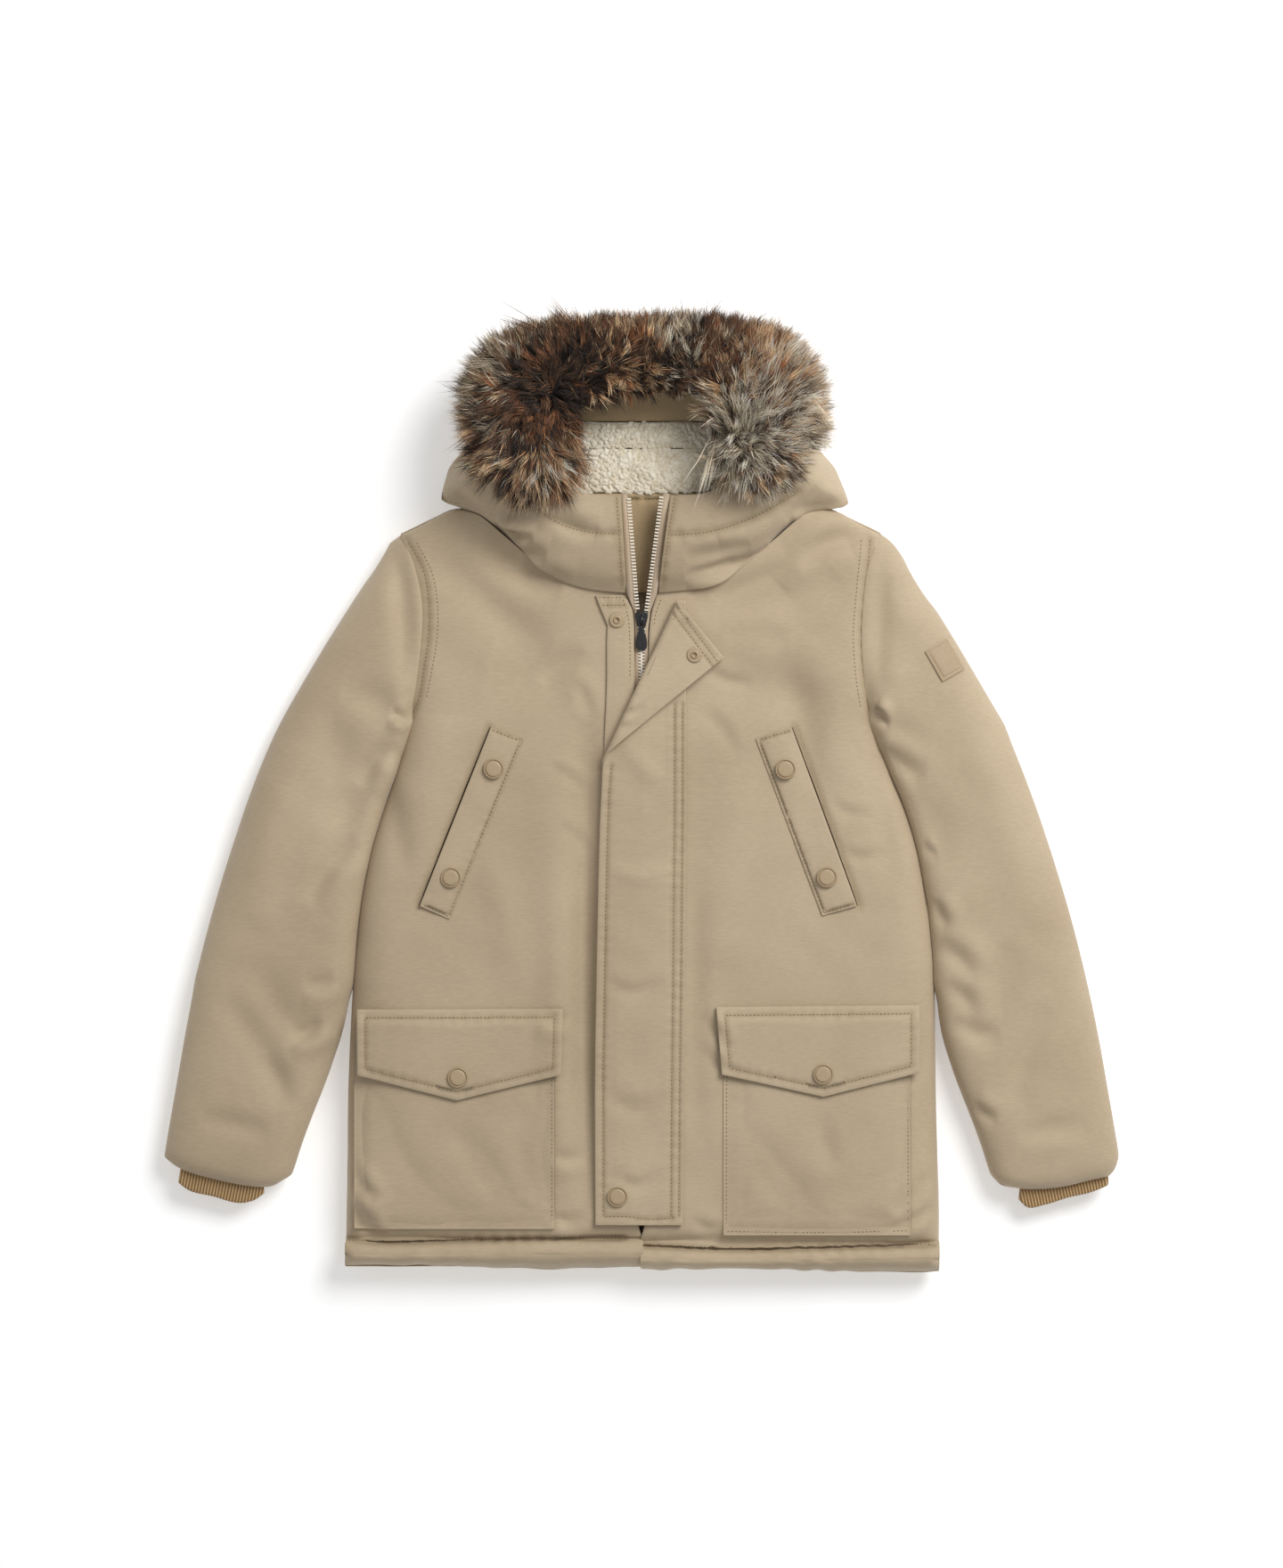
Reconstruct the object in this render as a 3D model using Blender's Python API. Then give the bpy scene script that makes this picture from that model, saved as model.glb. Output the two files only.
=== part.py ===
"""Fur trimmed parka, laid flat on its back with the hood opened upwards.

Frame: the coat lies on Z = 0, +Y runs from the hem to the hood, -X is the wearer's right.
The origin is under the middle of the coat. Tables are in millimetres, meshes in metres.
"""
import math

import bmesh
import bpy
import numpy as np
from mathutils import Vector
from mathutils.bvhtree import BVHTree

MM = 0.001

# ---- driving sizes, mm -------------------------------------------------------------
SEAM_GAP = 0.3            # between two pieces sewn to each other
REST_GAP = 0.7            # between a piece and the faceted panel it lies on
SIDE_SEAM_Z = 17.0        # height of the side seams above the table
BODY_LOFT = 37.0          # padded front on padded back
LINING_GAP = 1.5          # half the slit left between front and back
SIDE_ROUND = 30.0         # how far in the padding rounds off at a side
FOOT_ROUND = 16.0         # the same under the coat
SHOULDER_ROUND = 28.0
HEM_ROUND = 12.0
HEM_BAND = 22.0           # depth of the stitched hem channel
HEM_GROOVE = 8.0          # how deep its stitching pulls in
ARMHOLE_GROOVE = 3.5      # the same beside the armhole seam
GROOVE_WIDTH = 5.0
SEAM_RISE = 1.5           # thickness of the fronts at the side seam
SLEEVE_LOFT = 37.0
SLEEVE_WALL = 15.0        # padded wall seen at a sleeve's fold
MOUTH_WALL = 8.5          # the same at its end
SLEEVE_SLIT = 2.4         # what is left open in a flattened sleeve
SLEEVE_MOUTH = 8.4        # and at its end, round the knitted cuff
CUFF_THICK = 6.0          # both layers of the knitted cuff
CUFF_TUCK = 20.0          # how far the cuff reaches into the sleeve
HOOD_WALL = 13.0
FLY_THICK = 2.6
FLY_FOLD_RADIUS = 3.0     # where its top corner is turned back
SNAP_DIAMETER = 16.0
SOCKET_DIAMETER = 12.0    # of an open snap
SNAP_HEIGHT = 2.4
NECK_GAP = 1.6            # between the fronts and the collar
CROWN_SEAM = 0.025        # gap between hood side and crown, as a share of one hood row
ARMHOLE_POINTS = 12
SLEEVE_ROUND = 33.0       # how far in a sleeve's padding rounds off
SLEEVE_FOLD_DROP = 2.0    # a sleeve's fold below the side seam
SLEEVE_TAPER = 3.0        # less padding at the wrist
SLEEVE_HEAD = {           # fullness below the armhole seam, its places as shares of the sleeve's length
    "length": 0.13, "puff": 5.0, "puff_at": 0.07, "puff_length": 0.05,
}
SLEEVE_END_DROP = 9.0     # the padding rounds off at a sleeve's end by this much,
SLEEVE_END_ROUND = 0.028  # over this share of its length
BESIDE_BODY_Y = (52, 24, -25, -72, -120, -170)
SLEEVE_STATIONS = (0.004, 0.25, 0.5, 0.75, 0.93, 0.95, 1.0)
RIBS_A_FACE = 33
RIB_HEIGHT = 0.7
CUFF_SLIT = 1.0
CUFF_SLIT_SHARE = 0.96    # width of the cuff's opening, as a share of the cuff
CUFF_FROM = 0.15          # where the cuff starts along the sleeve's end
CUFF_SPAN = 0.62
LEAN_AT_NECK = 0.35       # the open zip leans to the wearer's left
LEAN_AT_TOP = 3.1
HOOD_BACK_THICK = 13.0
FACING_THICK = 2.5
PILE_THICK = 7.0
FUR_REACH = 11.0          # over which the fur bridges the hood under it
FUR_LUMP = 3.5
FUR_HEM_Z = 26.0          # how low the fur hangs outside the hood
FUR_OVER_RIM = 0.45       # share of its width that lies on or inside the hood's edge
WELT_THICK = 3.0
POCKET_THICK = 2.6
FLAP_THICK = 2.8
FLAP_REACH = 10.0         # over which a flap bridges the edge of the pocket under it
UNDERLAP_THICK = 2.0
PATCH_THICK = 1.2
PATCH_REACH = 1.0
FLY_REST = 2.2            # from the fronts to the middle of the flap's thickness
FLY_SAG = 4.0             # how far its turned corner droops past the sewn edge
FLY_SAG_FROM = 38.0
FOLD_STEPS = 5
FLY_RAMP = {"y": -22.0, "length": 20.0, "x": 12.0, "width": 14.0}   # where it climbs over the underlap
TAPE_THICK = 1.6
TAPE_DROP = 1.5           # zip tape below the fronts beside it

# ---- outline tables, mm ------------------------------------------------------------
# side seam up to the armpit, then the armhole seam up to the shoulder point
SIDES = {
    "y":     (-377, -324, -254, -190, -120, -72, -25, 24, 52, 82, 118, 150, 180, 203),
    "right": (-233.8, -231.7, -231.7, -229.6, -225, -219.2, -207.8, -190.5, -182.7, -179, -174.8, -174, -181,
              -190.4),
    "left":  (234.5, 234.5, 232.4, 231.5, 229.5, 223, 212, 192, 181.5, 176.8, 173.8, 175.3, 180, 189),
}
ARMPIT_Y = 52.0
SHOULDER_Y = 203.0
# neck seam of one front, from the shoulder to the centre; x is the distance from the middle
NECK = {
    "x": (190, 168, 147, 127, 107, 88.2, 70.7, 55, 37, 12),
    "y": (203, 212.5, 220.5, 214, 200, 182.7, 169.4, 161.7, 157.5, 155.4),
}
# a sleeve's fold from the shoulder point to the wrist, and its underarm fold from the armpit
SLEEVE_OUTER = {
    "x": (190.4, 201.2, 208.6, 226.5, 245, 261.1, 286.3, 298.6, 314.3, 328, 340.6, 351, 360.2, 367.2,
          374.5, 377.6),
    "y": (203, 193.9, 179.9, 151.9, 123.9, 95.9, 53.9, 25.9, -16.1, -58.1, -100.1, -142.1, -184.1, -226.1,
          -268.1, -287.5),
}
UNDERARM = {
    "y": (-198, -212, -240, -268, -296, -302.4),
    "x": (237.3, 241.5, 251.8, 263.6, 272.5, 274.8),
}
UNDERARM_CLEAR = 2.2      # between the underarm fold and the body beside it
# edge of a sleeve's end, from its outer fold to its underarm fold
SLEEVE_END = {
    "right": {"x": (377.6, 365.4, 352, 327.6, 305.2, 290.5, 284.9, 274.8),
              "y": (-287.5, -296.8, -302, -308, -312.2, -311.5, -308, -302.4)},
    "left":  {"x": (377.6, 370, 354.6, 330.4, 312, 294.4, 285, 274.8),
              "y": (-287.5, -302, -306, -312.4, -314, -313, -311.5, -302.4)},
}
# lower edge of the knitted cuff, from the outer side to the inner side
CUFF_END = {
    "right": {"x": (365.8, 358.4, 338.8, 312.9, 305.2, 297),
              "y": (-308.7, -314.3, -319.6, -324.8, -322.7, -317)},
    "left":  {"x": (368.6, 354.9, 336.7, 318.5, 303.8, 297),
              "y": (-310.8, -316.4, -320.6, -326.2, -328.3, -322)},
}
# soft folds of the fronts: middle, the way the fold runs, half length, half width, height
FOLDS = {
    "x":      (-45, -76, -150, -95, 120, 150, -160, 165, -20, 60),
    "y":      (-160, -120, 128, 95, 105, -60, -250, -290, 120, -230),
    "angle":  (90, 92, -38, -30, -22, -60, 12, 8, 60, 88),
    "length": (150, 140, 55, 50, 70, 60, 60, 60, 40, 90),
    "width":  (9, 20, 14, 13, 18, 16, 18, 16, 14, 12),
    "height": (-4.5, 2.0, -2.2, 1.6, 2.0, -1.8, 1.5, -1.4, -1.5, -1.2),
}

# top edge of the back panel, half of it
BACK_TOP = {
    "x": (190, 168, 147, 120, 60),
    "y": (203, 212.5, 219.5, 221, 221),
}
# zip: line of the teeth and edge of the cloth beside it, as distances from the middle
ZIP = {
    "y":           (-352, -339, 118, 128, 141, 156, 232.5),
    "teeth_right": (0.2, 0.2, 0.2, 0.9, 2.8, 4.2, 11.9),
    "teeth_left":  (0.2, 0.2, 0.2, 0.9, 3.5, 6.2, 18.2),
    "edge_right":  (1.4, 5.3, 5.3, 5.4, 6.0, 11.9, 16.1),
    "edge_left":   (1.4, 5.3, 5.3, 5.6, 7.3, 12.6, 22.4),
}
SLIDER = {"y": 141.0, "length": 11.0, "half_width": 4.8, "plate": 1.5, "post": 1.6, "gap": 0.5}
BRIDGE = {"y": 134.5, "outer": 3.9, "inner": 2.8, "half_width": 1.0}
PULL = {                   # half outline from the end bar to the tip, measured from the turning axis
    "x": (3.4, 3.4, 3.0, 4.1, 4.1, 3.2),
    "y": (0.6, -5.4, -7.5, -11.0, -22.0, -24.0),
    "hole_half": 1.7, "hole_low": -4.9, "hole_high": -0.6,
    "thick": 1.2, "axis_up": 1.25,
}
# storm flap before its corner is turned: free and sewn edge
FLY = {
    "y":      (-341, -218, -120, -53, -4, 21, 150),
    "free_x": (-36.4, -36.8, -35, -33.6, -32.2, -30.1, -31.5),
    "sewn_x": (32.2, 33, 34, 34.6, 35, 35, 35),
}
FLY_FOLD = {"low": (-24.6, 28.1), "high": (33.2, 151.6)}
FLY_SNAPS = {"low": (-18.9, -318.5), "top": (41.6, 106.9), "underlap": (-19.2, 134.4)}
UNDERLAP = {
    "y":       (2, 33.6, 89.6, 119.7, 130.2, 141.4, 154),
    "outer_x": (-30, -29.4, -27.3, -27.3, -26.8, -31.5, -36.3),
    "inner_x": (-6, -6, -6, -6, -6.3, -7.3, -12.6),
}
# chest welts: corners round from the top outer one, and their snaps
WELT = {
    "right": {"x": (-118.3, -92.4, -150.5, -174.3), "y": (50.4, 40.6, -100.8, -90.3)},
    "left":  {"x": (118, 89.6, 142.1, 169.4), "y": (50.1, 41.3, -98, -90.3)},
}
WELT_SNAPS = {
    "right": {"x": (-116.2, -149.8), "y": (17.5, -67.9)},
    "left":  {"x": (113, 145.5), "y": (17.2, -67.7)},
}
POCKET = {
    "right": {"x": (-226, -67.9), "top": -183, "bottom": -344},
    "left":  {"x": (64.4, 212), "top": -183, "bottom": -349},
}
# lower flaps: both top corners, lower corner, point, lower corner
POCKET_FLAP = {
    "right": {"x": (-223.7, -61.6, -63, -144.9, -223.3), "y": (-171.5, -170.8, -222.6, -242.9, -223.3)},
    "left":  {"x": (58.5, 218.4, 218.4, 142.8, 63), "y": (-169.4, -168, -221.2, -240.1, -222.6)},
}
POCKET_SNAP = {"right": (-144.2, -224.7), "left": (142.5, -222.2)}
SLEEVE_PATCH = {"centre": (238.5, 103.0), "half_width": 10.5, "half_height": 14.0, "turn": 30.0}
# inside the collar and the hood, from the neck seam up: half width, edge and height
LINING = {
    "half": (58, 52, 66, 66, 54),
    "y":    (156, 233.6, 268.8, 290, 316),
    "z":    (25, 43.5, 41, 37, 45),
}
HOOD_BACK_ROW = 9.0       # hood row from which the back panel of the hood follows its outline
HOOD_BACK_FOOT = {"x": 130.0, "y": 222.0}
FUR_SECTION = {           # one section of the fur, from its inner edge over the top and back underneath
    "across": (0.0, 0.04, 0.16, 0.34, 0.56, 0.78, 0.93, 1.0, 0.96, 0.8, 0.62, 0.42, 0.22, 0.07),
    "up":     (0.25, 0.6, 0.86, 1.0, 0.97, 0.8, 0.52, 0.22, 0, 0, 0, 0, 0, 0),
}
SNAP_CAP = {"radius": (0.9, 1.0, 1.0, 0.86, 0.6, 0.5), "height": (0, 0.2, 0.5, 0.85, 1.0, 0.75)}
SNAP_STUD = {"radius": (0.9, 1.0, 0.96, 0.5, 0.36, 0.3), "height": (0, 0.15, 0.35, 0.4, 1.0, 1.0)}

# Hood wall, one row for each section from the zip round to the crown. base is its outer edge,
# rim its face edge, both as distance from the middle and y; the heights are of its outer face.
HOOD = {
    "base_x": (12.25, 37, 55, 70.7, 88.2, 107, 126, 145.6, 158.2, 154.7, 148.4, 140, 129.5, 105, 63, 0),
    "base_y": (155.4, 157.5, 161.7, 169.4, 182.7, 201, 216.3, 224, 229, 246.4, 271, 306, 337.4, 355,
               361.2, 362.6),
    "base_z": (44, 44, 44, 44, 44, 44, 43, 40, 34, 24, 18, 16, 16, 16, 16, 16),
    "foot_z": (30, 30, 30, 30, 30, 30, 29, 26, 20, 6, 0, 0, 0, 0, 0, 0),
    "rim_x":  (19.25, 30, 42, 53.9, 63, 70, 75.6, 79.8, 82.6, 84, 84, 81.2, 75, 61.6, 38.5, 0),
    "rim_y":  (231.7, 232, 232.4, 234.5, 239.4, 246.4, 255.5, 266.7, 276.5, 286.3, 297.5, 307.3, 314.3,
               318.5, 320, 320.6),
    "rim_z":  (60, 61, 62, 63, 64, 66, 68, 69, 70, 70, 70, 69, 67, 64, 61, 60),
    "bulge":  (6, 6, 6, 6, 6, 7, 7, 8, 8, 9, 9, 8, 7, 6, 5, 5),
}
HOOD_COLUMNS = np.array([0, 0.08, 0.22, 0.42, 0.64, 0.84, 1.0])
CROWN_FROM = 12           # hood row where the side panel is sewn to the crown panel
# Fur, on the same rows from the third one on: outer and inner edge, and the height of its top
FUR_FIRST_ROW = 3
FUR = {
    "out_x": (55, 77, 102, 125, 139, 145, 147, 147, 144, 134, 108, 63, 0),
    "out_y": (224, 219, 218, 226, 239, 257, 278, 303, 328, 352, 368, 371, 372),
    "in_x":  (44, 41, 40, 41.5, 44, 47, 48.5, 48.5, 46, 41, 33, 19, 0),
    "in_y":  (237, 246, 257, 267, 275, 281, 285, 289, 293, 296, 296.5, 296, 295.5),
    "top_z": (78, 88, 96, 101, 104, 106, 106, 104, 101, 98, 94, 91, 90),
}

COLOURS = {                # colour, roughness, metallic
    "shell_cloth":  ((0.42, 0.345, 0.23), 0.85, 0.0),
    "lining_cloth": ((0.34, 0.275, 0.18), 0.8, 0.0),
    "pile_lining":  ((0.72, 0.66, 0.53), 0.95, 0.0),
    "fur":          ((0.25, 0.17, 0.11), 0.9, 0.0),
    "rib_knit":     ((0.40, 0.27, 0.14), 0.9, 0.0),
    "zip_tape":     ((0.62, 0.53, 0.42), 0.7, 0.0),
    "snap_plastic": ((0.47, 0.39, 0.26), 0.5, 0.0),
    "slider_metal": ((0.03, 0.03, 0.035), 0.35, 0.8),
}


# ---- small tools -------------------------------------------------------------------
def material(slot):
    found = bpy.data.materials.get(slot)
    if found:
        return found
    colour, roughness, metallic = COLOURS[slot]
    made = bpy.data.materials.new(slot)
    made.use_nodes = True
    shader = made.node_tree.nodes["Principled BSDF"]
    shader.inputs["Base Color"].default_value = (*colour, 1.0)
    shader.inputs["Roughness"].default_value = roughness
    shader.inputs["Metallic"].default_value = metallic
    return made


def curve(knots, values, at):
    """Smooth curve through the values of a table, its slope at a row taken from the rows beside it."""
    knots = np.asarray(knots, float)
    values = np.asarray(values, float)
    at = np.clip(np.asarray(at, float), min(knots[0], knots[-1]), max(knots[0], knots[-1]))
    if knots[0] > knots[-1]:
        knots, values = knots[::-1], values[::-1]
    step = np.diff(knots)
    slope = np.diff(values) / step
    tangent = np.empty_like(values)
    tangent[1:-1] = (slope[:-1] * step[1:] + slope[1:] * step[:-1]) / (step[1:] + step[:-1])
    tangent[0], tangent[-1] = slope[0], slope[-1]
    row = np.clip(np.searchsorted(knots, at) - 1, 0, len(step) - 1)
    t = (at - knots[row]) / step[row]
    h = step[row]
    return ((2 * t**3 - 3 * t**2 + 1) * values[row] + (t**3 - 2 * t**2 + t) * h * tangent[row]
            + (3 * t**2 - 2 * t**3) * values[row + 1] + (t**3 - t**2) * h * tangent[row + 1])


def along(xs, ys, share):
    """Points at these shares of the length of the smooth line through (xs, ys)."""
    xs, ys = np.asarray(xs, float), np.asarray(ys, float)
    length = np.concatenate([[0], np.cumsum(np.hypot(np.diff(xs), np.diff(ys)))])
    at = np.asarray(share, float) * length[-1]
    return np.stack([curve(length, xs, at), curve(length, ys, at)], axis=-1)


def smooth_step(t):
    t = np.clip(t, 0, 1)
    return t * t * (3 - 2 * t)


def quarter_round(t):
    """0 at an edge, 1 from t = 1 on, with the outline of a quarter circle."""
    t = np.clip(t, 0, 1)
    return np.sqrt(np.clip(1 - (1 - t)**2, 0, 1))


def spaced(count, both_ends=True):
    """Shares from 0 to 1, closer together at the ends, where padding rounds off."""
    t = np.linspace(0, 1, count)
    return 0.5 - 0.5 * np.cos(np.pi * t) if both_ends else 1 - np.cos(0.5 * np.pi * t)


def between(first, last, low, high, corners, across, upward):
    """Plan points between four edges that are given point by point. The corners are those of the lower
    edge, then those of the upper one.
    """
    u, v = across[:, None, None], upward[None, :, None]
    low_first, low_last, high_first, high_last = corners
    sides = (1 - u) * first[None] + u * last[None]
    ends = (1 - v) * low[:, None] + v * high[:, None]
    twice = (1 - v) * ((1 - u) * low_first + u * low_last) + v * ((1 - u) * high_first + u * high_last)
    return sides + ends - twice


def patch(first, last, low, high, across, upward):
    """Plan of a four sided panel. first and last give its sides, low and high its lower and upper edge,
    each for an array of shares of its length.
    """
    ends = np.array([0.0, 1.0])
    corners = (*low(ends), *high(ends))
    return between(first(upward), last(upward), low(across), high(across), corners, across, upward)


def line(xs, ys):
    """A panel edge through these points, as a function of the share of its length."""
    return lambda share: along(xs, ys, share)


def straight(start, end):
    start, end = np.array(start, float), np.array(end, float)
    return lambda share: start + (end - start) * np.asarray(share, float)[..., None]


def link(name, mesh, slot):
    mesh.materials.append(material(slot))
    made = bpy.data.objects.new(name, mesh)
    bpy.context.scene.collection.objects.link(made)
    return made


def mesh_object(name, points, faces, slot):
    mesh = bpy.data.meshes.new(name)
    mesh.from_pydata([tuple(p) for p in np.asarray(points) * MM], [], faces)
    shape = bmesh.new()
    shape.from_mesh(mesh)
    bmesh.ops.recalc_face_normals(shape, faces=shape.faces)
    shape.to_mesh(mesh)
    shape.free()
    mesh.shade_smooth()
    mesh.set_sharp_from_angle(angle=math.radians(50))
    return link(name, mesh, slot)


def wall(name, plan, outer_z, inner_z, slot, inner_plan=None):
    """A cloth wall: a grid of outer points over a grid of inner ones, closed all round its edge."""
    inner_plan = plan if inner_plan is None else inner_plan
    rows, columns = outer_z.shape
    outer = np.concatenate([plan, outer_z[..., None]], axis=-1).reshape(-1, 3)
    inner = np.concatenate([inner_plan, inner_z[..., None]], axis=-1).reshape(-1, 3)
    at = np.arange(rows * columns).reshape(rows, columns)
    faces = []
    for i in range(rows - 1):
        for j in range(columns - 1):
            quad = (at[i, j], at[i + 1, j], at[i + 1, j + 1], at[i, j + 1])
            faces.append([int(k) for k in quad])
            faces.append([int(k) + rows * columns for k in reversed(quad)])
    edge = [*at[:, 0], *at[-1, 1:], *at[-2::-1, -1], *at[0, -2:0:-1]]
    for a, b in zip(edge, edge[1:] + edge[:1]):
        faces.append([int(a), int(b), int(b) + rows * columns, int(a) + rows * columns])
    return mesh_object(name, np.concatenate([outer, inner]), faces, slot)


def tube(name, outer_rings, inner_rings, slot):
    """A sewn tube: rings of outer points and fewer rings of inner ones, joined at both open ends."""
    points, faces, starts = [], [], []
    sides = outer_rings.shape[1]
    for rings in (outer_rings, inner_rings):
        starts.append(len(points))
        points.extend(rings.reshape(-1, 3))
        for i in range(len(rings) - 1):
            for j in range(sides):
                k = (j + 1) % sides
                low, high = starts[-1] + i * sides, starts[-1] + (i + 1) * sides
                faces.append([low + j, low + k, high + k, high + j])
    for end in (0, -1):
        outer = starts[0] + (len(outer_rings) - 1) * sides * (end == -1)
        inner = starts[1] + (len(inner_rings) - 1) * sides * (end == -1)
        for j in range(sides):
            k = (j + 1) % sides
            faces.append([outer + j, outer + k, inner + k, inner + j])
    return mesh_object(name, points, faces, slot)


def top_of(pieces, plan, otherwise=0.0):
    """Height of the highest of these pieces under each plan point, in mm."""
    trees = []
    graph = bpy.context.evaluated_depsgraph_get()
    for piece in pieces:
        shape = bmesh.new()
        shape.from_object(piece, graph)
        shape.transform(piece.matrix_world)
        trees.append(BVHTree.FromBMesh(shape))
        shape.free()
    flat = plan.reshape(-1, 2) * MM
    heights = np.full(len(flat), otherwise)
    for i, (x, y) in enumerate(flat):
        for tree in trees:
            hit = tree.ray_cast(Vector((x, y, 1.0)), Vector((0, 0, -1)))[0]
            if hit is not None:
                heights[i] = max(heights[i], hit.z / MM)
    return heights.reshape(plan.shape[:-1])


# ---- the body's form ---------------------------------------------------------------
def fold_height(x, y):
    total = np.zeros_like(x)
    for fx, fy, angle, length, width, height in zip(*FOLDS.values()):
        turn = math.radians(angle)
        down = (x - fx) * math.cos(turn) + (y - fy) * math.sin(turn)
        over = -(x - fx) * math.sin(turn) + (y - fy) * math.cos(turn)
        total += height * np.exp(-(down / length)**2 - (over / width)**2)
    return total


def hem_y(x):
    """Lower edge of the hem: the left front hangs a little lower, with two shallow dips."""
    return np.where(x < 0, -374.5, -377.5) + 1.2 * np.sin(x / 47.0)


def shoulder_y(x):
    """The shoulder fold, and a line well above the neck, where the padding doesn't round off."""
    return curve(NECK["x"][:3][::-1], NECK["y"][:3][::-1], np.abs(x)) + np.maximum(0, 147 - np.abs(x)) * 1.2


def edges_at(x, y):
    right = curve(SIDES["y"], SIDES["right"], y)
    left = curve(SIDES["y"], SIDES["left"], y)
    from_side = np.minimum(x - right, left - x)
    beside_sleeve = smooth_step((y - 20) / 75)
    return from_side, beside_sleeve, shoulder_y(x) - y, y - hem_y(x)


def body_top(x, y):
    """Height of the fronts' outer face."""
    from_side, beside_sleeve, from_shoulder, from_hem = edges_at(x, y)
    rise = 1 - (1 - beside_sleeve) * (1 - quarter_round(from_side / SIDE_ROUND))
    rise = rise * quarter_round(from_shoulder / SHOULDER_ROUND) * quarter_round(from_hem / HEM_ROUND)
    foot = SIDE_SEAM_Z + SEAM_RISE
    height = foot + (BODY_LOFT - foot) * rise
    height -= ARMHOLE_GROOVE * beside_sleeve * np.exp(-(from_side / GROOVE_WIDTH)**2)
    height -= HEM_GROOVE * rise * np.exp(-((from_hem - HEM_BAND) / GROOVE_WIDTH)**2)
    return height + fold_height(x, y) * rise


def armhole_levels():
    return SHOULDER_Y + (ARMPIT_Y - SHOULDER_Y) * spaced(ARMHOLE_POINTS)


def body_levels(low_shares):
    """Rows of a body panel: these shares of the side seam, then the rows where the sleeve is sewn on."""
    low = SIDES["y"][0] + (ARMPIT_Y - SIDES["y"][0]) * np.array(low_shares)
    return np.concatenate([low, armhole_levels()[::-1]])


def side_points(side, levels, gap=SEAM_GAP):
    sign = -1 if side == "right" else 1
    x = curve(SIDES["y"], SIDES[side], levels) - sign * gap * (levels > ARMPIT_Y)
    return np.stack([x, levels], axis=-1)


def centre_x(side, y):
    """Edge of the front or the collar beside the zip, as distance from the middle."""
    return np.interp(y, ZIP["y"], ZIP[f"edge_{side}"])


def front(side):
    sign = -1 if side == "right" else 1
    levels = body_levels([0, 0.012, 0.03, 0.05, 0.06, 0.074, 0.1, *np.linspace(0.16, 0.94, 13)])
    across = spaced(12, both_ends=False)
    outer = side_points(side, levels)
    outer[0, 1] = hem_y(outer[0, 0])
    share = (levels - levels[0]) / (levels[-1] - levels[0])
    centre_y = hem_y(0.0) + (NECK["y"][-1] - NECK_GAP - hem_y(0.0)) * share
    centre = np.stack([sign * centre_x(side, centre_y), centre_y], axis=-1)
    hem = np.stack([outer[0, 0] + (centre[0, 0] - outer[0, 0]) * across, 0 * across], axis=-1)
    hem[:, 1] = hem_y(hem[:, 0])
    neck = along([sign * x for x in NECK["x"]], NECK["y"], across)
    neck[:, 1] -= NECK_GAP
    neck[0], neck[-1], centre[0] = outer[-1], centre[-1], hem[-1]
    plan = between(outer, centre, hem, neck, (hem[0], hem[-1], neck[0], neck[-1]), across, share)
    x, y = plan[..., 0], plan[..., 1]
    inner_z = SIDE_SEAM_Z + SEAM_GAP / 2 + LINING_GAP * smooth_step(edges_at(x, y)[0] / 12)
    return wall(f"front_{side}", plan, body_top(x, y), inner_z, "shell_cloth")


def back():
    across = spaced(15)
    levels = body_levels([0, 0.02, 0.045, *np.linspace(0.1, 0.94, 10)])
    right, left = side_points("right", levels), side_points("left", levels)
    hem_level = hem_y(0.0)
    hem = np.stack([right[0, 0] + (left[0, 0] - right[0, 0]) * across, 0 * across + hem_level], axis=-1)
    half = list(zip(BACK_TOP["x"], BACK_TOP["y"]))
    top = along([-x for x, y in half] + [x for x, y in half[::-1]], [y for x, y in half + half[::-1]], across)
    right[0], left[0] = hem[0], hem[-1]
    top[0], top[-1] = right[-1], left[-1]
    share = (levels - levels[0]) / (levels[-1] - levels[0])
    plan = between(right, left, hem, top, (hem[0], hem[-1], top[0], top[-1]), across, share)
    x, y = plan[..., 0], plan[..., 1]
    from_side, beside_sleeve, from_shoulder, _ = edges_at(x, y)
    flat = 1 - (1 - beside_sleeve) * (1 - quarter_round(from_side / FOOT_ROUND))
    flat = flat * quarter_round(from_shoulder / FOOT_ROUND) * quarter_round((y - hem_level) / FOOT_ROUND)
    inner_z = SIDE_SEAM_Z - SEAM_GAP / 2 - LINING_GAP * smooth_step(from_side / 12)
    foot_z = (SIDE_SEAM_Z - 1.6) * (1 - flat)
    return wall("back", plan, inner_z, foot_z, "shell_cloth")


# ---- sleeves -----------------------------------------------------------------------
def sleeve_plan(side, across, down):
    """Plan of a sleeve, across from the outer fold to the underarm fold, down from the armhole."""
    sign = -1 if side == "right" else 1
    beside = np.array(BESIDE_BODY_Y, float)
    fold_x = np.abs(curve(SIDES["y"], SIDES[side], beside)) + UNDERARM_CLEAR * (beside < ARMPIT_Y)
    outer_x = np.array(SLEEVE_OUTER["x"], float)
    outer_x[0] = abs(SIDES[side][-1])
    outer = line(sign * outer_x, SLEEVE_OUTER["y"])
    inner = line(sign * np.concatenate([fold_x, UNDERARM["x"]]), [*beside, *UNDERARM["y"]])
    end = line(sign * np.array(SLEEVE_END[side]["x"]), SLEEVE_END[side]["y"])

    def armhole(share):
        return side_points(side, SHOULDER_Y + (ARMPIT_Y - SHOULDER_Y) * np.asarray(share, float), 0.0)

    return patch(outer, inner, armhole, end, across, down)


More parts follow.
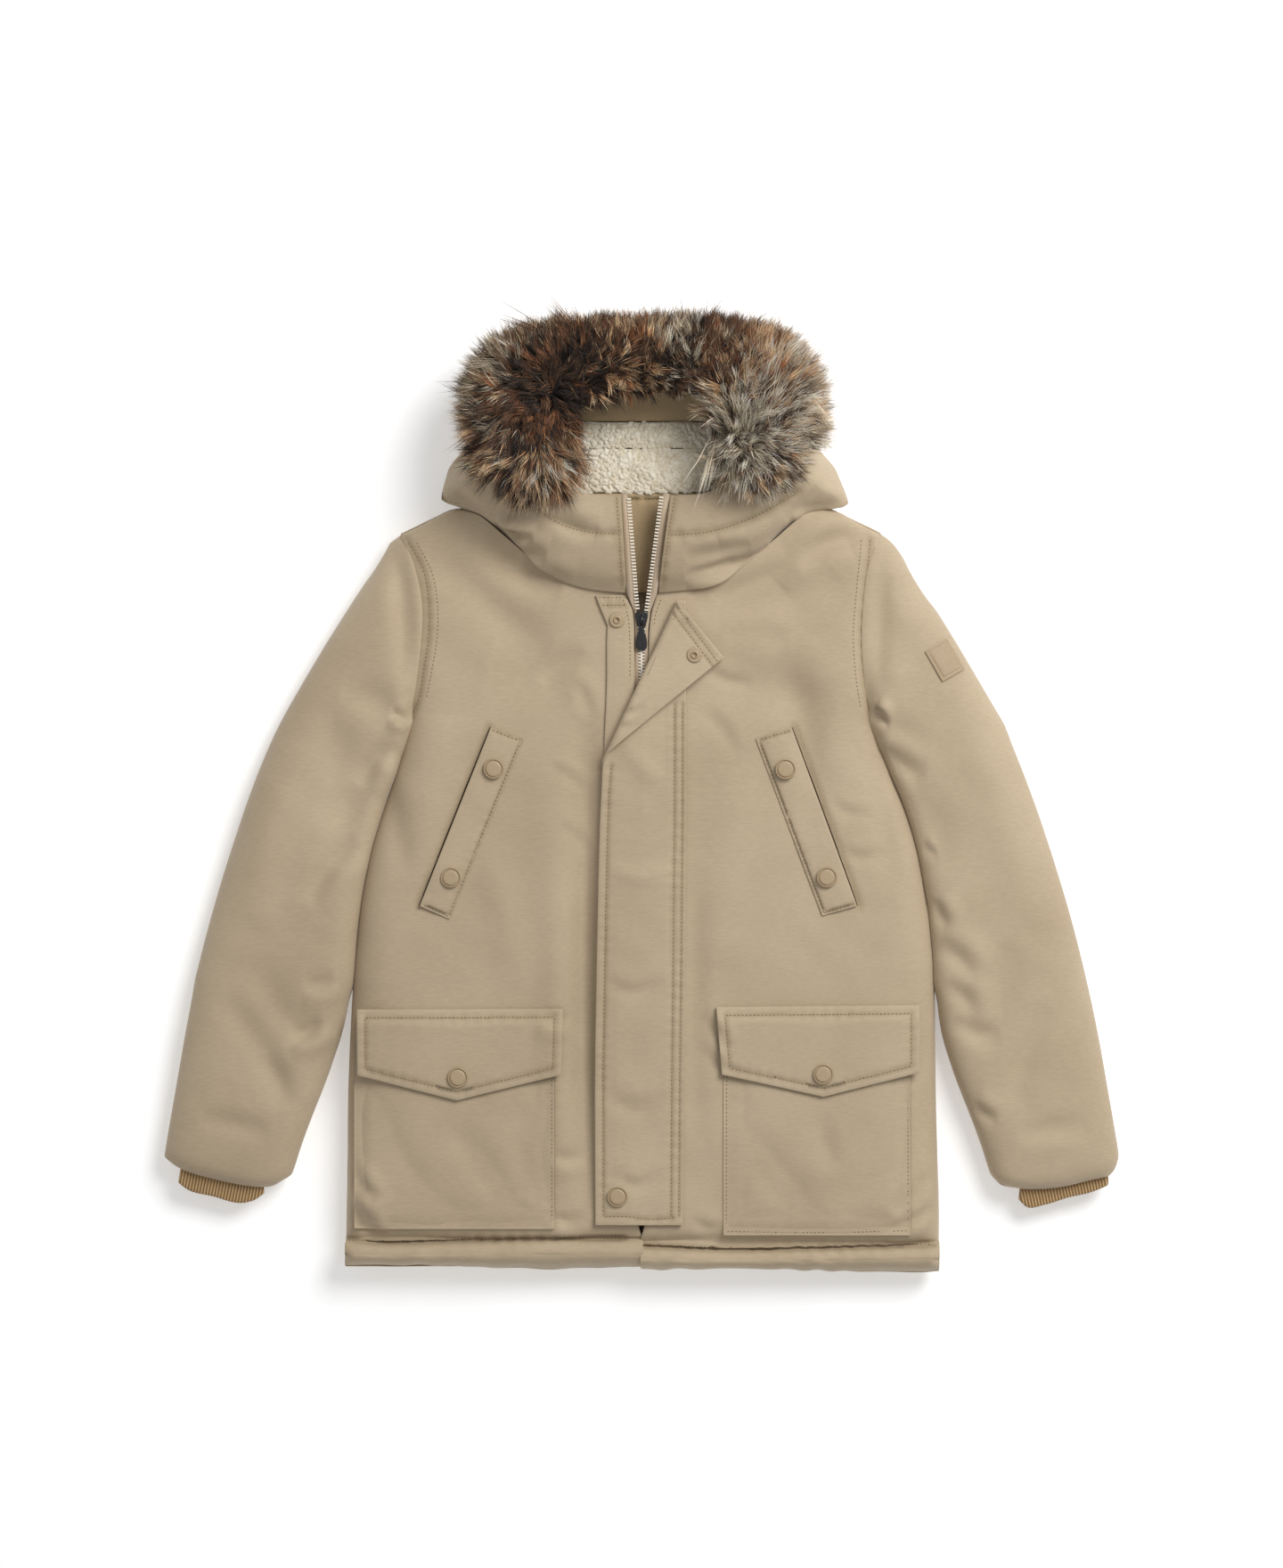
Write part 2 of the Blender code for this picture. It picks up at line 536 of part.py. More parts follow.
def sleeve_height(plan, across, down, width):
    """Outer face of a sleeve, which starts at the body's own height along the armhole."""
    t, s = across[:, None], down[None]
    round_off = quarter_round(t * width / SLEEVE_ROUND) * quarter_round((1 - t) * width / SLEEVE_ROUND)
    foot = SIDE_SEAM_Z - SLEEVE_FOLD_DROP
    own = foot + (SLEEVE_LOFT - SLEEVE_TAPER * s - foot) * round_off
    at_armhole = body_top(plan[:, :1, 0], plan[:, :1, 1])
    share = smooth_step(s / SLEEVE_HEAD["length"])
    height = at_armhole * (1 - share) + own * share
    puff = np.exp(-((s - SLEEVE_HEAD["puff_at"]) / SLEEVE_HEAD["puff_length"])**2)
    height += SLEEVE_HEAD["puff"] * puff * smooth_step(t / 0.2) * smooth_step((1 - t) / 0.3)
    end = 1 - quarter_round((1 - s) / SLEEVE_END_ROUND)
    return height - SLEEVE_END_DROP * end * round_off


def sleeve(side):
    across = spaced(ARMHOLE_POINTS)
    down = np.concatenate([[0, 0.02, 0.05, 0.09], np.linspace(0.14, 0.93, 13), [0.97, 0.99, 1.0]])
    under = spaced(7)[::-1][1:-1]
    top_plan = sleeve_plan(side, across, down)
    foot_plan = sleeve_plan(side, under, down)
    width = np.linalg.norm(top_plan[-1] - top_plan[0], axis=-1)[None]
    top_z = sleeve_height(top_plan, across, down, width)
    outer = np.concatenate([np.concatenate([top_plan, top_z[..., None]], axis=-1),
                            np.concatenate([foot_plan, 0 * foot_plan[..., :1]], axis=-1)])
    inner_rings = []
    for s in SLEEVE_STATIONS:
        slit = SLEEVE_MOUTH if s > SLEEVE_STATIONS[-3] else SLEEVE_SLIT
        wide = float(np.interp(s, down, width[0]))
        inset = (MOUTH_WALL if s > SLEEVE_STATIONS[-3] else SLEEVE_WALL) / wide
        ring = []
        for shares, lift in ((across, 1), (under, -1)):
            shares_in = inset + (1 - 2 * inset) * shares
            spots = sleeve_plan(side, shares_in, np.array([s]))[:, 0]
            z = SIDE_SEAM_Z + lift * slit / 2 * np.where((shares > 0) & (shares < 1), 1, 0)
            ring.append(np.column_stack([spots, z]))
        inner_rings.append(np.concatenate(ring))
    return tube(f"sleeve_{side}", outer.transpose(1, 0, 2), np.array(inner_rings), "shell_cloth")


def cuff(side):
    """Knitted cuff: a flat tube with raised ribs that starts inside the sleeve's end and shows below it."""
    sign = -1 if side == "right" else 1
    ribs = 2 * RIBS_A_FACE
    across = np.linspace(0, 1, ribs + 1)
    low = along([sign * x for x in CUFF_END[side]["x"]], CUFF_END[side]["y"], across)
    end = SLEEVE_END[side]
    edge = along([sign * x for x in end["x"]], end["y"], CUFF_FROM + CUFF_SPAN * across)
    tucked = edge + np.array([-sign * 2.0, CUFF_TUCK]) + np.array([-sign * 5.0, 0]) * (0.5 - across)[:, None]
    raised = RIB_HEIGHT * (np.arange(ribs + 1) % 2)
    round_off = quarter_round(np.minimum(across, 1 - across) / 0.05)

    def ring(spots, half, ridge):
        z = (half + ridge * raised) * round_off
        upper = np.column_stack([spots, SIDE_SEAM_Z + z])
        lower = np.column_stack([spots, SIDE_SEAM_Z - z])
        return np.concatenate([upper, lower[-2:0:-1]])

    half = CUFF_THICK / 2
    outer = np.array([ring(tucked, half, 0), ring(edge, half, 1), ring(edge + (low - edge) * 0.94, half, 1),
                      ring(low, half * 0.7, 1)])
    middle = outer.mean(axis=1, keepdims=True)
    inner = middle + (outer - middle) * np.array([CUFF_SLIT_SHARE, 1.0, 1.0])
    plain = outer[:, :, 2:] > SIDE_SEAM_Z
    inner[..., 2] = SIDE_SEAM_Z + np.where(plain[..., 0], 1, -1) * CUFF_SLIT / 2
    inner[:, [0, ribs], 2] = SIDE_SEAM_Z
    return tube(f"cuff_{side}", outer, inner[[0, -1]], "rib_knit")


# ---- hood --------------------------------------------------------------------------
def hood_grid(sign, rows, columns):
    """Outer and inner points of the hood wall, from its outer edge (0) to the face edge (1)."""
    knots = np.arange(len(HOOD["base_x"]))
    at = {key: np.maximum(curve(knots, values, rows), 0)[:, None] for key, values in HOOD.items()}
    v = columns[None]
    base = np.stack([sign * at["base_x"], at["base_y"]], axis=-1)
    rim = np.stack([sign * at["rim_x"], at["rim_y"]], axis=-1)
    plan = base + (rim - base) * v[..., None]
    plan[..., 0] += (LEAN_AT_NECK + (LEAN_AT_TOP - LEAN_AT_NECK) * v) * smooth_step(1 - rows / 3)[:, None]
    outer_z = at["base_z"] + (at["rim_z"] - at["base_z"]) * np.sin(v * math.pi / 2)
    outer_z = outer_z + at["bulge"] * np.sin(v * math.pi)
    towards = (rim - base) / np.linalg.norm(rim - base, axis=-1, keepdims=True)
    inset = HOOD_WALL * smooth_step((rows - 7) / 2)[:, None] * (1 - v)
    inner_plan = plan + towards * inset[..., None]
    inner_z = np.where(v > 0, np.maximum(at["foot_z"], outer_z - HOOD_WALL), at["foot_z"])
    return plan, outer_z, inner_z, inner_plan


def hood_side(side):
    rows = np.linspace(0, CROWN_FROM, 2 * CROWN_FROM + 1)
    plan, outer_z, inner_z, inner_plan = hood_grid(-1 if side == "right" else 1, rows, HOOD_COLUMNS)
    return wall(f"hood_{side}", plan, outer_z, inner_z, "shell_cloth", inner_plan)


def hood_crown():
    last = len(HOOD["base_x"]) - 1
    rows = np.linspace(CROWN_FROM + CROWN_SEAM, last, 6)
    right = hood_grid(-1, rows, HOOD_COLUMNS)
    left = hood_grid(1, rows[-2::-1], HOOD_COLUMNS)
    plan, outer_z, inner_z, inner_plan = (np.concatenate(pair) for pair in zip(right, left))
    return wall("hood_crown", plan, outer_z, inner_z, "shell_cloth", inner_plan)


def hood_outline(first_row, last_row, inset, count):
    """Right half of the hood's outline, moved in towards the face edge, from first_row to last_row."""
    rows = np.linspace(first_row, last_row, count)
    knots = np.arange(len(HOOD["base_x"]))
    base = np.stack([-curve(knots, HOOD["base_x"], rows), curve(knots, HOOD["base_y"], rows)], axis=-1)
    rim = np.stack([-curve(knots, HOOD["rim_x"], rows), curve(knots, HOOD["rim_y"], rows)], axis=-1)
    return base + inset * (rim - base) / np.linalg.norm(rim - base, axis=-1, keepdims=True)


def hood_back_plan(inset):
    last = len(HOOD["base_x"]) - 1
    side = hood_outline(HOOD_BACK_ROW, CROWN_FROM, inset, 6)
    crown = hood_outline(CROWN_FROM, last, inset, 5)
    crown = np.concatenate([crown, crown[-2::-1] * [-1, 1]])
    start = np.array([[-HOOD_BACK_FOOT["x"], HOOD_BACK_FOOT["y"]]])
    side = np.concatenate([start, side])
    return patch(line(side[:, 0], side[:, 1]), line(-side[:, 0], side[:, 1]),
                 straight(start[0], start[0] * [-1, 1]), line(crown[:, 0], crown[:, 1]),
                 np.linspace(0, 1, 11), np.linspace(0, 1, 7))


def hood_back():
    """Panel of the hood that lies on the table, hidden under the lining."""
    plan, foot_plan = hood_back_plan(HOOD_WALL + 8.5), hood_back_plan(HOOD_WALL + 1.5)
    flat = np.zeros(plan.shape[:-1])
    return wall("hood_back", plan, flat + HOOD_BACK_THICK, flat, "shell_cloth", foot_plan)


def lining_piece(name, low, high, z_low, z_high, thick, dome, slot):
    """A sheet inside the hood or the collar, between its lower and its upper edge."""
    across, upward = np.linspace(0, 1, 9), np.linspace(0, 1, 4)
    ends = np.array([0.0, 1.0])
    (low_first, low_last), (high_first, high_last) = low(ends), high(ends)
    plan = patch(straight(low_first, high_first), straight(low_last, high_last), low, high, across, upward)
    rise = dome * np.sin(np.pi * upward)[None] * np.sin(np.pi * across)[:, None]
    z = z_low + (z_high - z_low) * upward[None] + rise
    return wall(name, plan, z, z - thick, slot)


def linings():
    half = LINING["half"]
    near = [(x, y + 1.0) for x, y in zip(NECK["x"], NECK["y"]) if x <= half[0]]
    neck_x = [-x for x, y in near] + [0.0] + [x for x, y in near[::-1]]
    neck_y = [y for x, y in near] + [NECK["y"][-1] + 1.0] + [y for x, y in near[::-1]]
    edges = [line(neck_x, neck_y)]
    for wide, y in zip(half[1:], LINING["y"][1:]):
        edges.append(straight((-wide, y), (wide, y)))
    names = (("neck_facing", FACING_THICK, 0, "lining_cloth"), ("pile_panel", PILE_THICK, 3, "pile_lining"),
             ("pile_band", PILE_THICK, 3, "pile_lining"), ("hood_facing", FACING_THICK, 0, "lining_cloth"))
    for i, (name, thick, dome, slot) in enumerate(names):
        low = edges[i]
        if i:
            low_y = LINING["y"][i] + 2 * SEAM_GAP
            low = straight((-half[i], low_y), (half[i], low_y))
        lining_piece(name, low, edges[i + 1], LINING["z"][i], LINING["z"][i + 1], thick, dome, slot)


def fur_trim(hood):
    """Fur round the face opening: one long lump over the hood's edge, open at the throat."""
    knots = np.arange(len(FUR["out_x"]))
    half = np.linspace(0, knots[-1], 2 * len(knots) - 1)
    sections = [(-1, row) for row in half] + [(1, row) for row in half[-2::-1]]
    count = len(FUR_SECTION["across"])
    share = np.array(FUR_SECTION["across"])
    up = np.array(FUR_SECTION["up"])
    points = []
    for number, (sign, row) in enumerate(sections):
        at = {key: float(curve(knots, values, row)) for key, values in FUR.items()}
        start = np.array([sign * at["in_x"], at["in_y"]])
        end = np.array([sign * at["out_x"], at["out_y"]])
        lump = FUR_LUMP * math.sin(number * 1.9) * math.sin(number * 0.47 + 1)
        plan = start + (end - start) * share[:, None]
        under = np.maximum(rest_height(hood, plan, FUR_REACH), FUR_HEM_Z)
        rim_z = float(curve(np.arange(len(HOOD["rim_z"])), HOOD["rim_z"], row + FUR_FIRST_ROW))
        inside = share < FUR_OVER_RIM
        under = np.where(inside, np.maximum(under, rim_z + 1), under + 0.8)
        z = under + (at["top_z"] + lump - under) * up
        points.append(np.column_stack([plan, z]))
    faces = []
    for i in range(len(points) - 1):
        for j in range(count):
            k = (j + 1) % count
            faces.append([i * count + j, i * count + k, (i + 1) * count + k, (i + 1) * count + j])
    faces.append(list(range(count)))
    faces.append(list(range((len(points) - 1) * count, len(points) * count)))
    return mesh_object("fur_trim", np.concatenate(points), faces, "fur")


# ---- what lies on the fronts -------------------------------------------------------
def rest_height(pieces, plan, reach=3.0):
    """Height just above these pieces, over a small patch round each plan point."""
    steps = [(a * reach, b * reach) for a in (-1, 0, 1) for b in (-1, 0, 1)]
    return np.max([top_of(pieces, plan + np.array(step)) for step in steps], axis=0) + REST_GAP


def laid(name, plan, pieces, thick, slot, edge=0.75, reach=3.0):
    """A flat piece that lies on others, a little thinner at its edges."""
    foot_z = rest_height(pieces, plan, reach)
    full = np.ones(plan.shape[:-1])
    full[[0, -1]] = edge
    full[:, [0, -1]] = edge
    return wall(name, plan, foot_z + thick * full, foot_z, slot)


def welt(side, front_piece):
    first, second, third, fourth = zip(WELT[side]["x"], WELT[side]["y"])
    plan = patch(straight(first, fourth), straight(second, third), straight(first, second),
                 straight(fourth, third), np.linspace(0, 1, 5), np.linspace(0, 1, 10))
    return laid(f"welt_{side}", plan, [front_piece], WELT_THICK, "shell_cloth")


def pocket(side, front_piece):
    box = POCKET[side]
    low = straight((box["x"][0], box["bottom"]), (box["x"][1], box["bottom"]))
    high = straight((box["x"][0], box["top"]), (box["x"][1], box["top"]))
    first = straight((box["x"][0], box["bottom"]), (box["x"][0], box["top"]))
    last = straight((box["x"][1], box["bottom"]), (box["x"][1], box["top"]))
    plan = patch(first, last, low, high, spaced(11), spaced(9))
    return laid(f"pocket_{side}", plan, [front_piece], POCKET_THICK, "shell_cloth", 0.7)


def pocket_flap(side, pieces):
    corners = list(zip(POCKET_FLAP[side]["x"], POCKET_FLAP[side]["y"]))
    top_first, top_last, low_last, point, low_first = corners
    share = np.linspace(0, 1, 11)

    def low(at):
        knots = zip(low_first, point, low_last)
        return np.stack([np.interp(at, [0, 0.5, 1], values) for values in knots], axis=-1)

    plan = patch(straight(low_first, top_first), straight(low_last, top_last), low,
                 straight(top_first, top_last), share, np.linspace(0, 1, 6))
    return laid(f"pocket_flap_{side}", plan, pieces, FLAP_THICK, "shell_cloth", reach=FLAP_REACH)


def fly_underlap(front_piece):
    """Strip beside the zip that carries the upper stud."""
    outer = line(UNDERLAP["outer_x"], UNDERLAP["y"])
    inner = line(UNDERLAP["inner_x"], UNDERLAP["y"])
    ends = np.array([0.0, 1.0])
    (low_a, high_a), (low_b, high_b) = outer(ends), inner(ends)
    plan = patch(outer, inner, straight(low_a, low_b), straight(high_a, high_b), np.linspace(0, 1, 4),
                 np.linspace(0, 1, 13))
    return laid("fly_underlap", plan, [front_piece], UNDERLAP_THICK, "shell_cloth")


def fold_place(x, y):
    """Distance along the storm flap's fold line, and across it, positive on the part that stays down."""
    (ax, ay), (bx, by) = FLY_FOLD["low"], FLY_FOLD["high"]
    length = math.hypot(bx - ax, by - ay)
    tx, ty = (bx - ax) / length, (by - ay) / length
    return (x - ax) * tx + (y - ay) * ty, (x - ax) * ty - (y - ay) * tx, (tx, ty), (ax, ay)


def fly_point(x, y, offset, ground):
    """Where a point of the flat storm flap comes to lie; offset is along its outward side."""
    down, over, (tx, ty), (ax, ay) = fold_place(x, y)
    radius = FLY_FOLD_RADIUS
    if over >= 0:
        swing, lift, side_way = over, 0.0, 0.0
        up = 1.0
    elif over > -math.pi * radius:
        turn = -over / radius
        swing, lift = -radius * math.sin(turn), radius * (1 - math.cos(turn))
        side_way, up = math.sin(turn), math.cos(turn)
    else:
        swing, lift = -over - math.pi * radius, 2 * radius
        side_way, up = 0.0, -1.0
    swing += side_way * offset
    px = ax + down * tx + swing * ty
    py = ay + down * ty - swing * tx
    if over < -math.pi * radius:
        lift -= FLY_SAG * float(smooth_step((px - FLY_SAG_FROM) / 25))
    return px, py, float(ground(px, py)) + lift + up * offset


def storm_flap(ground):
    """Flap over the zip: one straight strip, sewn down along one side, its top corner turned back."""
    shape = bmesh.new()
    rows = np.linspace(0, 1, 15)
    low_y, high_y = FLY["y"][0], FLY["y"][-1]
    grid = []
    for share in rows:
        y = low_y + (high_y - low_y) * share
        left, right = np.interp(y, FLY["y"], FLY["free_x"]), np.interp(y, FLY["y"], FLY["sewn_x"])
        grid.append([shape.verts.new((left + (right - left) * t, y, 0)) for t in np.linspace(0, 1, 5)])
    for lower, upper in zip(grid, grid[1:]):
        for j in range(4):
            shape.faces.new((lower[j], lower[j + 1], upper[j + 1], upper[j]))
    _, _, (tx, ty), (ax, ay) = fold_place(0, 0)
    for step in range(FOLD_STEPS + 1):
        over = -math.pi * FLY_FOLD_RADIUS * step / FOLD_STEPS
        everything = shape.verts[:] + shape.edges[:] + shape.faces[:]
        bmesh.ops.bisect_plane(shape, geom=everything, plane_co=(ax + over * ty, ay - over * tx, 0),
                               plane_no=(ty, -tx, 0), dist=0.05)
    bmesh.ops.remove_doubles(shape, verts=shape.verts, dist=0.2)
    shape.verts.index_update()
    count = len(shape.verts)
    points = []
    for offset in (FLY_THICK / 2, -FLY_THICK / 2):
        points += [fly_point(v.co.x, v.co.y, offset, ground) for v in shape.verts]
    faces = [[v.index for v in face.verts] for face in shape.faces]
    faces += [[v.index + count for v in reversed(face.verts)] for face in shape.faces]
    for edge in shape.edges:
        if len(edge.link_faces) == 1:
            a, b = edge.verts[0].index, edge.verts[1].index
            faces.append([a, b, b + count, a + count])
    shape.free()
    return mesh_object("storm_flap", points, faces, "shell_cloth")


# ---- hard pieces -------------------------------------------------------------------
def turned(name, centre, profile, sides, slot):
    """A turned piece: rings of (radius, height) from its foot to its top, closed flat at both ends."""
    points, faces = [], []
    for radius, height in profile:
        for i in range(sides):
            angle = 2 * math.pi * i / sides
            points.append((centre[0] + radius * math.cos(angle), centre[1] + radius * math.sin(angle),
                           centre[2] + height))
    for ring in range(len(profile) - 1):
        for i in range(sides):
            j = (i + 1) % sides
            low, high = ring * sides, (ring + 1) * sides
            faces.append([low + i, low + j, high + j, high + i])
    faces.append(list(range(sides))[::-1])
    faces.append(list(range((len(profile) - 1) * sides, len(profile) * sides)))
    return mesh_object(name, points, faces, slot)


def snap(name, x, y, pieces, hollow=False):
    radius = (SOCKET_DIAMETER if hollow else SNAP_DIAMETER) / 2
    ring = np.array([(x + radius * math.cos(a), y + radius * math.sin(a)) for a in np.arange(0, 6.2, 0.8)])
    foot = float(np.max(top_of(pieces, ring))) + SEAM_GAP
    shares, heights = (SNAP_STUD if hollow else SNAP_CAP).values()
    profile = [(radius * share, SNAP_HEIGHT * height) for share, height in zip(shares, heights)]
    return turned(name, (x, y, foot), profile, 16, "snap_plastic")


def zip_tape(side):
    sign = -1 if side == "right" else 1
    levels = np.concatenate([np.linspace(ZIP["y"][1], ZIP["y"][2], 9), ZIP["y"][3:5],
                             np.linspace(ZIP["y"][5], ZIP["y"][6], 6)])
    inner = sign * np.interp(levels, ZIP["y"], ZIP[f"teeth_{side}"])
    outer = sign * (centre_x(side, levels) - SEAM_GAP)
    plan = np.stack([np.stack([inner, levels], axis=-1), np.stack([outer, levels], axis=-1)])
    body = body_top(np.zeros_like(levels), levels)
    on_collar = HOOD["base_z"][0] + (HOOD["rim_z"][0] - HOOD["base_z"][0]) * np.sin(
        np.clip((levels - NECK["y"][-1]) / (HOOD["rim_y"][0] - NECK["y"][-1]), 0, 1) * math.pi / 2)
    share = smooth_step((levels - SLIDER["y"] - 2) / 14)
    top = body * (1 - share) + on_collar * share - TAPE_DROP
    top = np.stack([top, top])
    return wall(f"zip_tape_{side}", plan, top, top - TAPE_THICK, "zip_tape")


def block(x, y, z):
    """Corner points and faces of a box between these limits."""
    points = [(a, b, c) for c in z for b in y for a in x]
    faces = [[0, 2, 3, 1], [4, 5, 7, 6], [0, 1, 5, 4], [2, 6, 7, 3], [0, 4, 6, 2], [1, 3, 7, 5]]
    return points, faces


def zip_slider(tape_z):
    """Slider: two plates joined by a post between the tapes, and a bridge that holds the pull.
    Gives the height of its upper face.
    """
    half, top = SLIDER["half_width"], tape_z + SLIDER["gap"]
    low = tape_z - TAPE_THICK - SLIDER["gap"]
    plate_y = (SLIDER["y"] - SLIDER["length"], SLIDER["y"])
    parts = [block((-half, half), plate_y, (top, top + SLIDER["plate"])),
             block((-half, half), plate_y, (low - SLIDER["plate"], low)),
             block((-SLIDER["post"], SLIDER["post"]), (SLIDER["y"] - 3, SLIDER["y"]), (low - 0.5, top + 0.5))]
    objects = [mesh_object(f"slider_part_{i}", points, faces, "slider_metal") for i, (points, faces)
               in enumerate(parts)]
    arch_points, arch_faces = [], []
    steps = 9
    z = top + SLIDER["plate"] - 0.4
    for i in range(steps):
        turn = math.pi * i / (steps - 1)
        for edge, wide in (("outer", -1), ("outer", 1), ("inner", 1), ("inner", -1)):
            arch_points.append((wide * BRIDGE["half_width"], BRIDGE["y"] + BRIDGE[edge] * math.cos(turn),
                                z + BRIDGE[edge] * math.sin(turn)))
    for i in range(steps - 1):
        for j in range(4):
            k = (j + 1) % 4
            arch_faces.append([4 * i + j, 4 * i + k, 4 * i + 4 + k, 4 * i + 4 + j])
    arch_faces += [[0, 1, 2, 3], [4 * steps - 1, 4 * steps - 2, 4 * steps - 3, 4 * steps - 4]]
    objects.append(mesh_object("slider_part_3", arch_points, arch_faces, "slider_metal"))
    slider = objects[0]
    slider.name = "zip_slider"
    for other in objects[1:]:
        joined = slider.modifiers.new("join", "BOOLEAN")
        joined.operation = "UNION"
        joined.solver = "EXACT"
        joined.object = other
        other.hide_render = True
        other.display_type = "WIRE"
    return top + SLIDER["plate"]


def zip_pull(plate_z):
    """Pull tab, lying down towards the hem. Its end bar turns under the bridge, round its origin."""
    outer_x, outer_y = PULL["x"], PULL["y"]
    right = [(x, y) for x, y in zip(outer_x, outer_y)]
    outline = right + [(-x, y) for x, y in right[::-1]]
    hole_x, hole_low, hole_high = PULL["hole_half"], PULL["hole_low"], PULL["hole_high"]
    hole = [(hole_x, hole_high), (hole_x, hole_low), (-hole_x, hole_low), (-hole_x, hole_high)]
    shape = bmesh.new()
    half = PULL["thick"] / 2
    loops = []
    for ring in (outline, hole):
        verts = [shape.verts.new((x * MM, y * MM, -half * MM)) for x, y in ring]
        loops += [shape.edges.new((a, b)) for a, b in zip(verts, verts[1:] + verts[:1])]
    bmesh.ops.triangle_fill(shape, edges=loops, use_beauty=True)
    extruded = bmesh.ops.extrude_face_region(shape, geom=shape.faces[:])
    moved = [item for item in extruded["geom"] if isinstance(item, bmesh.types.BMVert)]
    bmesh.ops.translate(shape, verts=moved, vec=(0, 0, 2 * half * MM))
    bmesh.ops.recalc_face_normals(shape, faces=shape.faces)
    mesh = bpy.data.meshes.new("zip_pull")
    shape.to_mesh(mesh)
    shape.free()
    pull = link("zip_pull", mesh, "slider_metal")
    pull.location = (0, BRIDGE["y"] * MM, (plate_z + PULL["axis_up"]) * MM)
    return pull


def sleeve_patch(piece):
    turn = math.radians(SLEEVE_PATCH["turn"])
    over = SLEEVE_PATCH["half_width"] * np.array([math.cos(turn), math.sin(turn)])
    up = SLEEVE_PATCH["half_height"] * np.array([-math.sin(turn), math.cos(turn)])
    centre = np.array(SLEEVE_PATCH["centre"])
    shares = np.linspace(-1, 1, 5)
    plan = centre + shares[:, None, None] * over + shares[None, :, None] * up
    return laid("sleeve_patch", plan, [piece], PATCH_THICK, "shell_cloth", 0.8, PATCH_REACH)


def clear_scene():
    for old in list(bpy.data.objects):
        bpy.data.objects.remove(old)


def fasteners(fronts, welts, pockets, underlap, fly):
    for side in ("right", "left"):
        for place, x, y in zip(("top", "low"), *WELT_SNAPS[side].values()):
            snap(f"snap_welt_{side}_{place}", x, y, [fronts[side], welts[side]])
        x, y = POCKET_SNAP[side]
        snap(f"snap_pocket_{side}", x, y, [pockets[side]])
    snap("snap_flap_low", *FLY_SNAPS["low"], [fly])
    snap("snap_flap_top", *FLY_SNAPS["top"], [fly], hollow=True)
    snap("snap_underlap", *FLY_SNAPS["underlap"], [underlap], hollow=True)


def centre_on_box():
    """Moves the whole coat so that the origin is under the middle of its box."""
    graph = bpy.context.evaluated_depsgraph_get()
    shown = [piece for piece in bpy.data.objects if not piece.hide_render]
    corners = np.array([piece.matrix_world @ vertex.co for piece in shown
                        for vertex in piece.evaluated_get(graph).data.vertices])
    low, high = corners.min(axis=0), corners.max(axis=0)
    for piece in bpy.data.objects:
        piece.location.x -= (low[0] + high[0]) / 2
        piece.location.y -= (low[1] + high[1]) / 2
        piece.location.z -= low[2]


def main():
    clear_scene()
    back()
    fronts = {side: front(side) for side in ("right", "left")}
    sleeves = {side: sleeve(side) for side in ("right", "left")}
    for side in ("right", "left"):
        cuff(side)
    hood = [hood_side("right"), hood_side("left"), hood_crown()]
    hood_back()
    linings()
    fur_trim(hood)
    underlap = fly_underlap(fronts["right"])
    for side in ("right", "left"):
        zip_tape(side)
    tape_z = float(body_top(np.array(0.0), np.array(SLIDER["y"] - SLIDER["length"] / 2))) - TAPE_DROP
    plate_z = zip_slider(tape_z)
    zip_pull(plate_z)

    def ground(x, y):
        upward = float(smooth_step((y - FLY_RAMP["y"]) / FLY_RAMP["length"]))
        sideways = float(smooth_step((FLY_RAMP["x"] - x) / FLY_RAMP["width"]))
        lift = (UNDERLAP_THICK + REST_GAP) * upward * sideways
        return float(body_top(np.array(x), np.array(y))) + FLY_REST + lift

    fly = storm_flap(ground)
    welts = {side: welt(side, fronts[side]) for side in ("right", "left")}
    pockets = {side: pocket(side, fronts[side]) for side in ("right", "left")}
    flaps = {side: pocket_flap(side, [fronts[side], pockets[side]]) for side in ("right", "left")}
    fasteners(fronts, welts, flaps, underlap, fly)
    sleeve_patch(sleeves["left"])
    centre_on_box()


main()
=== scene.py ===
import math

import bmesh
import bpy
import numpy as np
from mathutils import Matrix, Vector, noise
from mathutils.bvhtree import BVHTree


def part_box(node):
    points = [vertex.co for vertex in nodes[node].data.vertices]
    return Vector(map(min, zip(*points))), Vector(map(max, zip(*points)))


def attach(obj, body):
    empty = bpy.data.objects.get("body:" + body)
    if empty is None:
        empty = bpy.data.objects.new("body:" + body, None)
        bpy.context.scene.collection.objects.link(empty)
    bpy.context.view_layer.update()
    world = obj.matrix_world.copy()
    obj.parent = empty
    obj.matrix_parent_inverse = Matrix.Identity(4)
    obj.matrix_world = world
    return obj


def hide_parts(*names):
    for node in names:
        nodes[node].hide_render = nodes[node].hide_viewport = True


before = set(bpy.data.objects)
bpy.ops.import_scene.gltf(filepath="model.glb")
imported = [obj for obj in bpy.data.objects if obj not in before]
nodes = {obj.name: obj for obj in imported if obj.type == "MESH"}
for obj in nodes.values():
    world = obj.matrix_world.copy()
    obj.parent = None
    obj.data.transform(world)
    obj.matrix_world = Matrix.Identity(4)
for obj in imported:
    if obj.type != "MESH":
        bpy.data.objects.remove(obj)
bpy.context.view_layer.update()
print("frame loaded:", len(nodes), "nodes")

mm = 0.001
planShift = 3.35      # mm, from the pattern's zero to the frame's; every plan point below is on the pattern


# small tools
def linear(hexText):
    parts = [int(hexText[i:i + 2], 16) / 255 for i in (1, 3, 5)]
    return tuple(c / 12.92 if c <= 0.04045 else ((c + 0.055) / 1.055)**2.4 for c in parts) + (1.0,)


def addNode(tree, kind, settings=None, links=None):
    node = tree.nodes.new("ShaderNode" + kind)
    for name, value in (settings or {}).items():
        if isinstance(name, int) or name in node.inputs:
            node.inputs[name].default_value = value
        else:
            setattr(node, name, value)
    for name, source in (links or {}).items():
        tree.links.new(source, node.inputs[name])
    return node


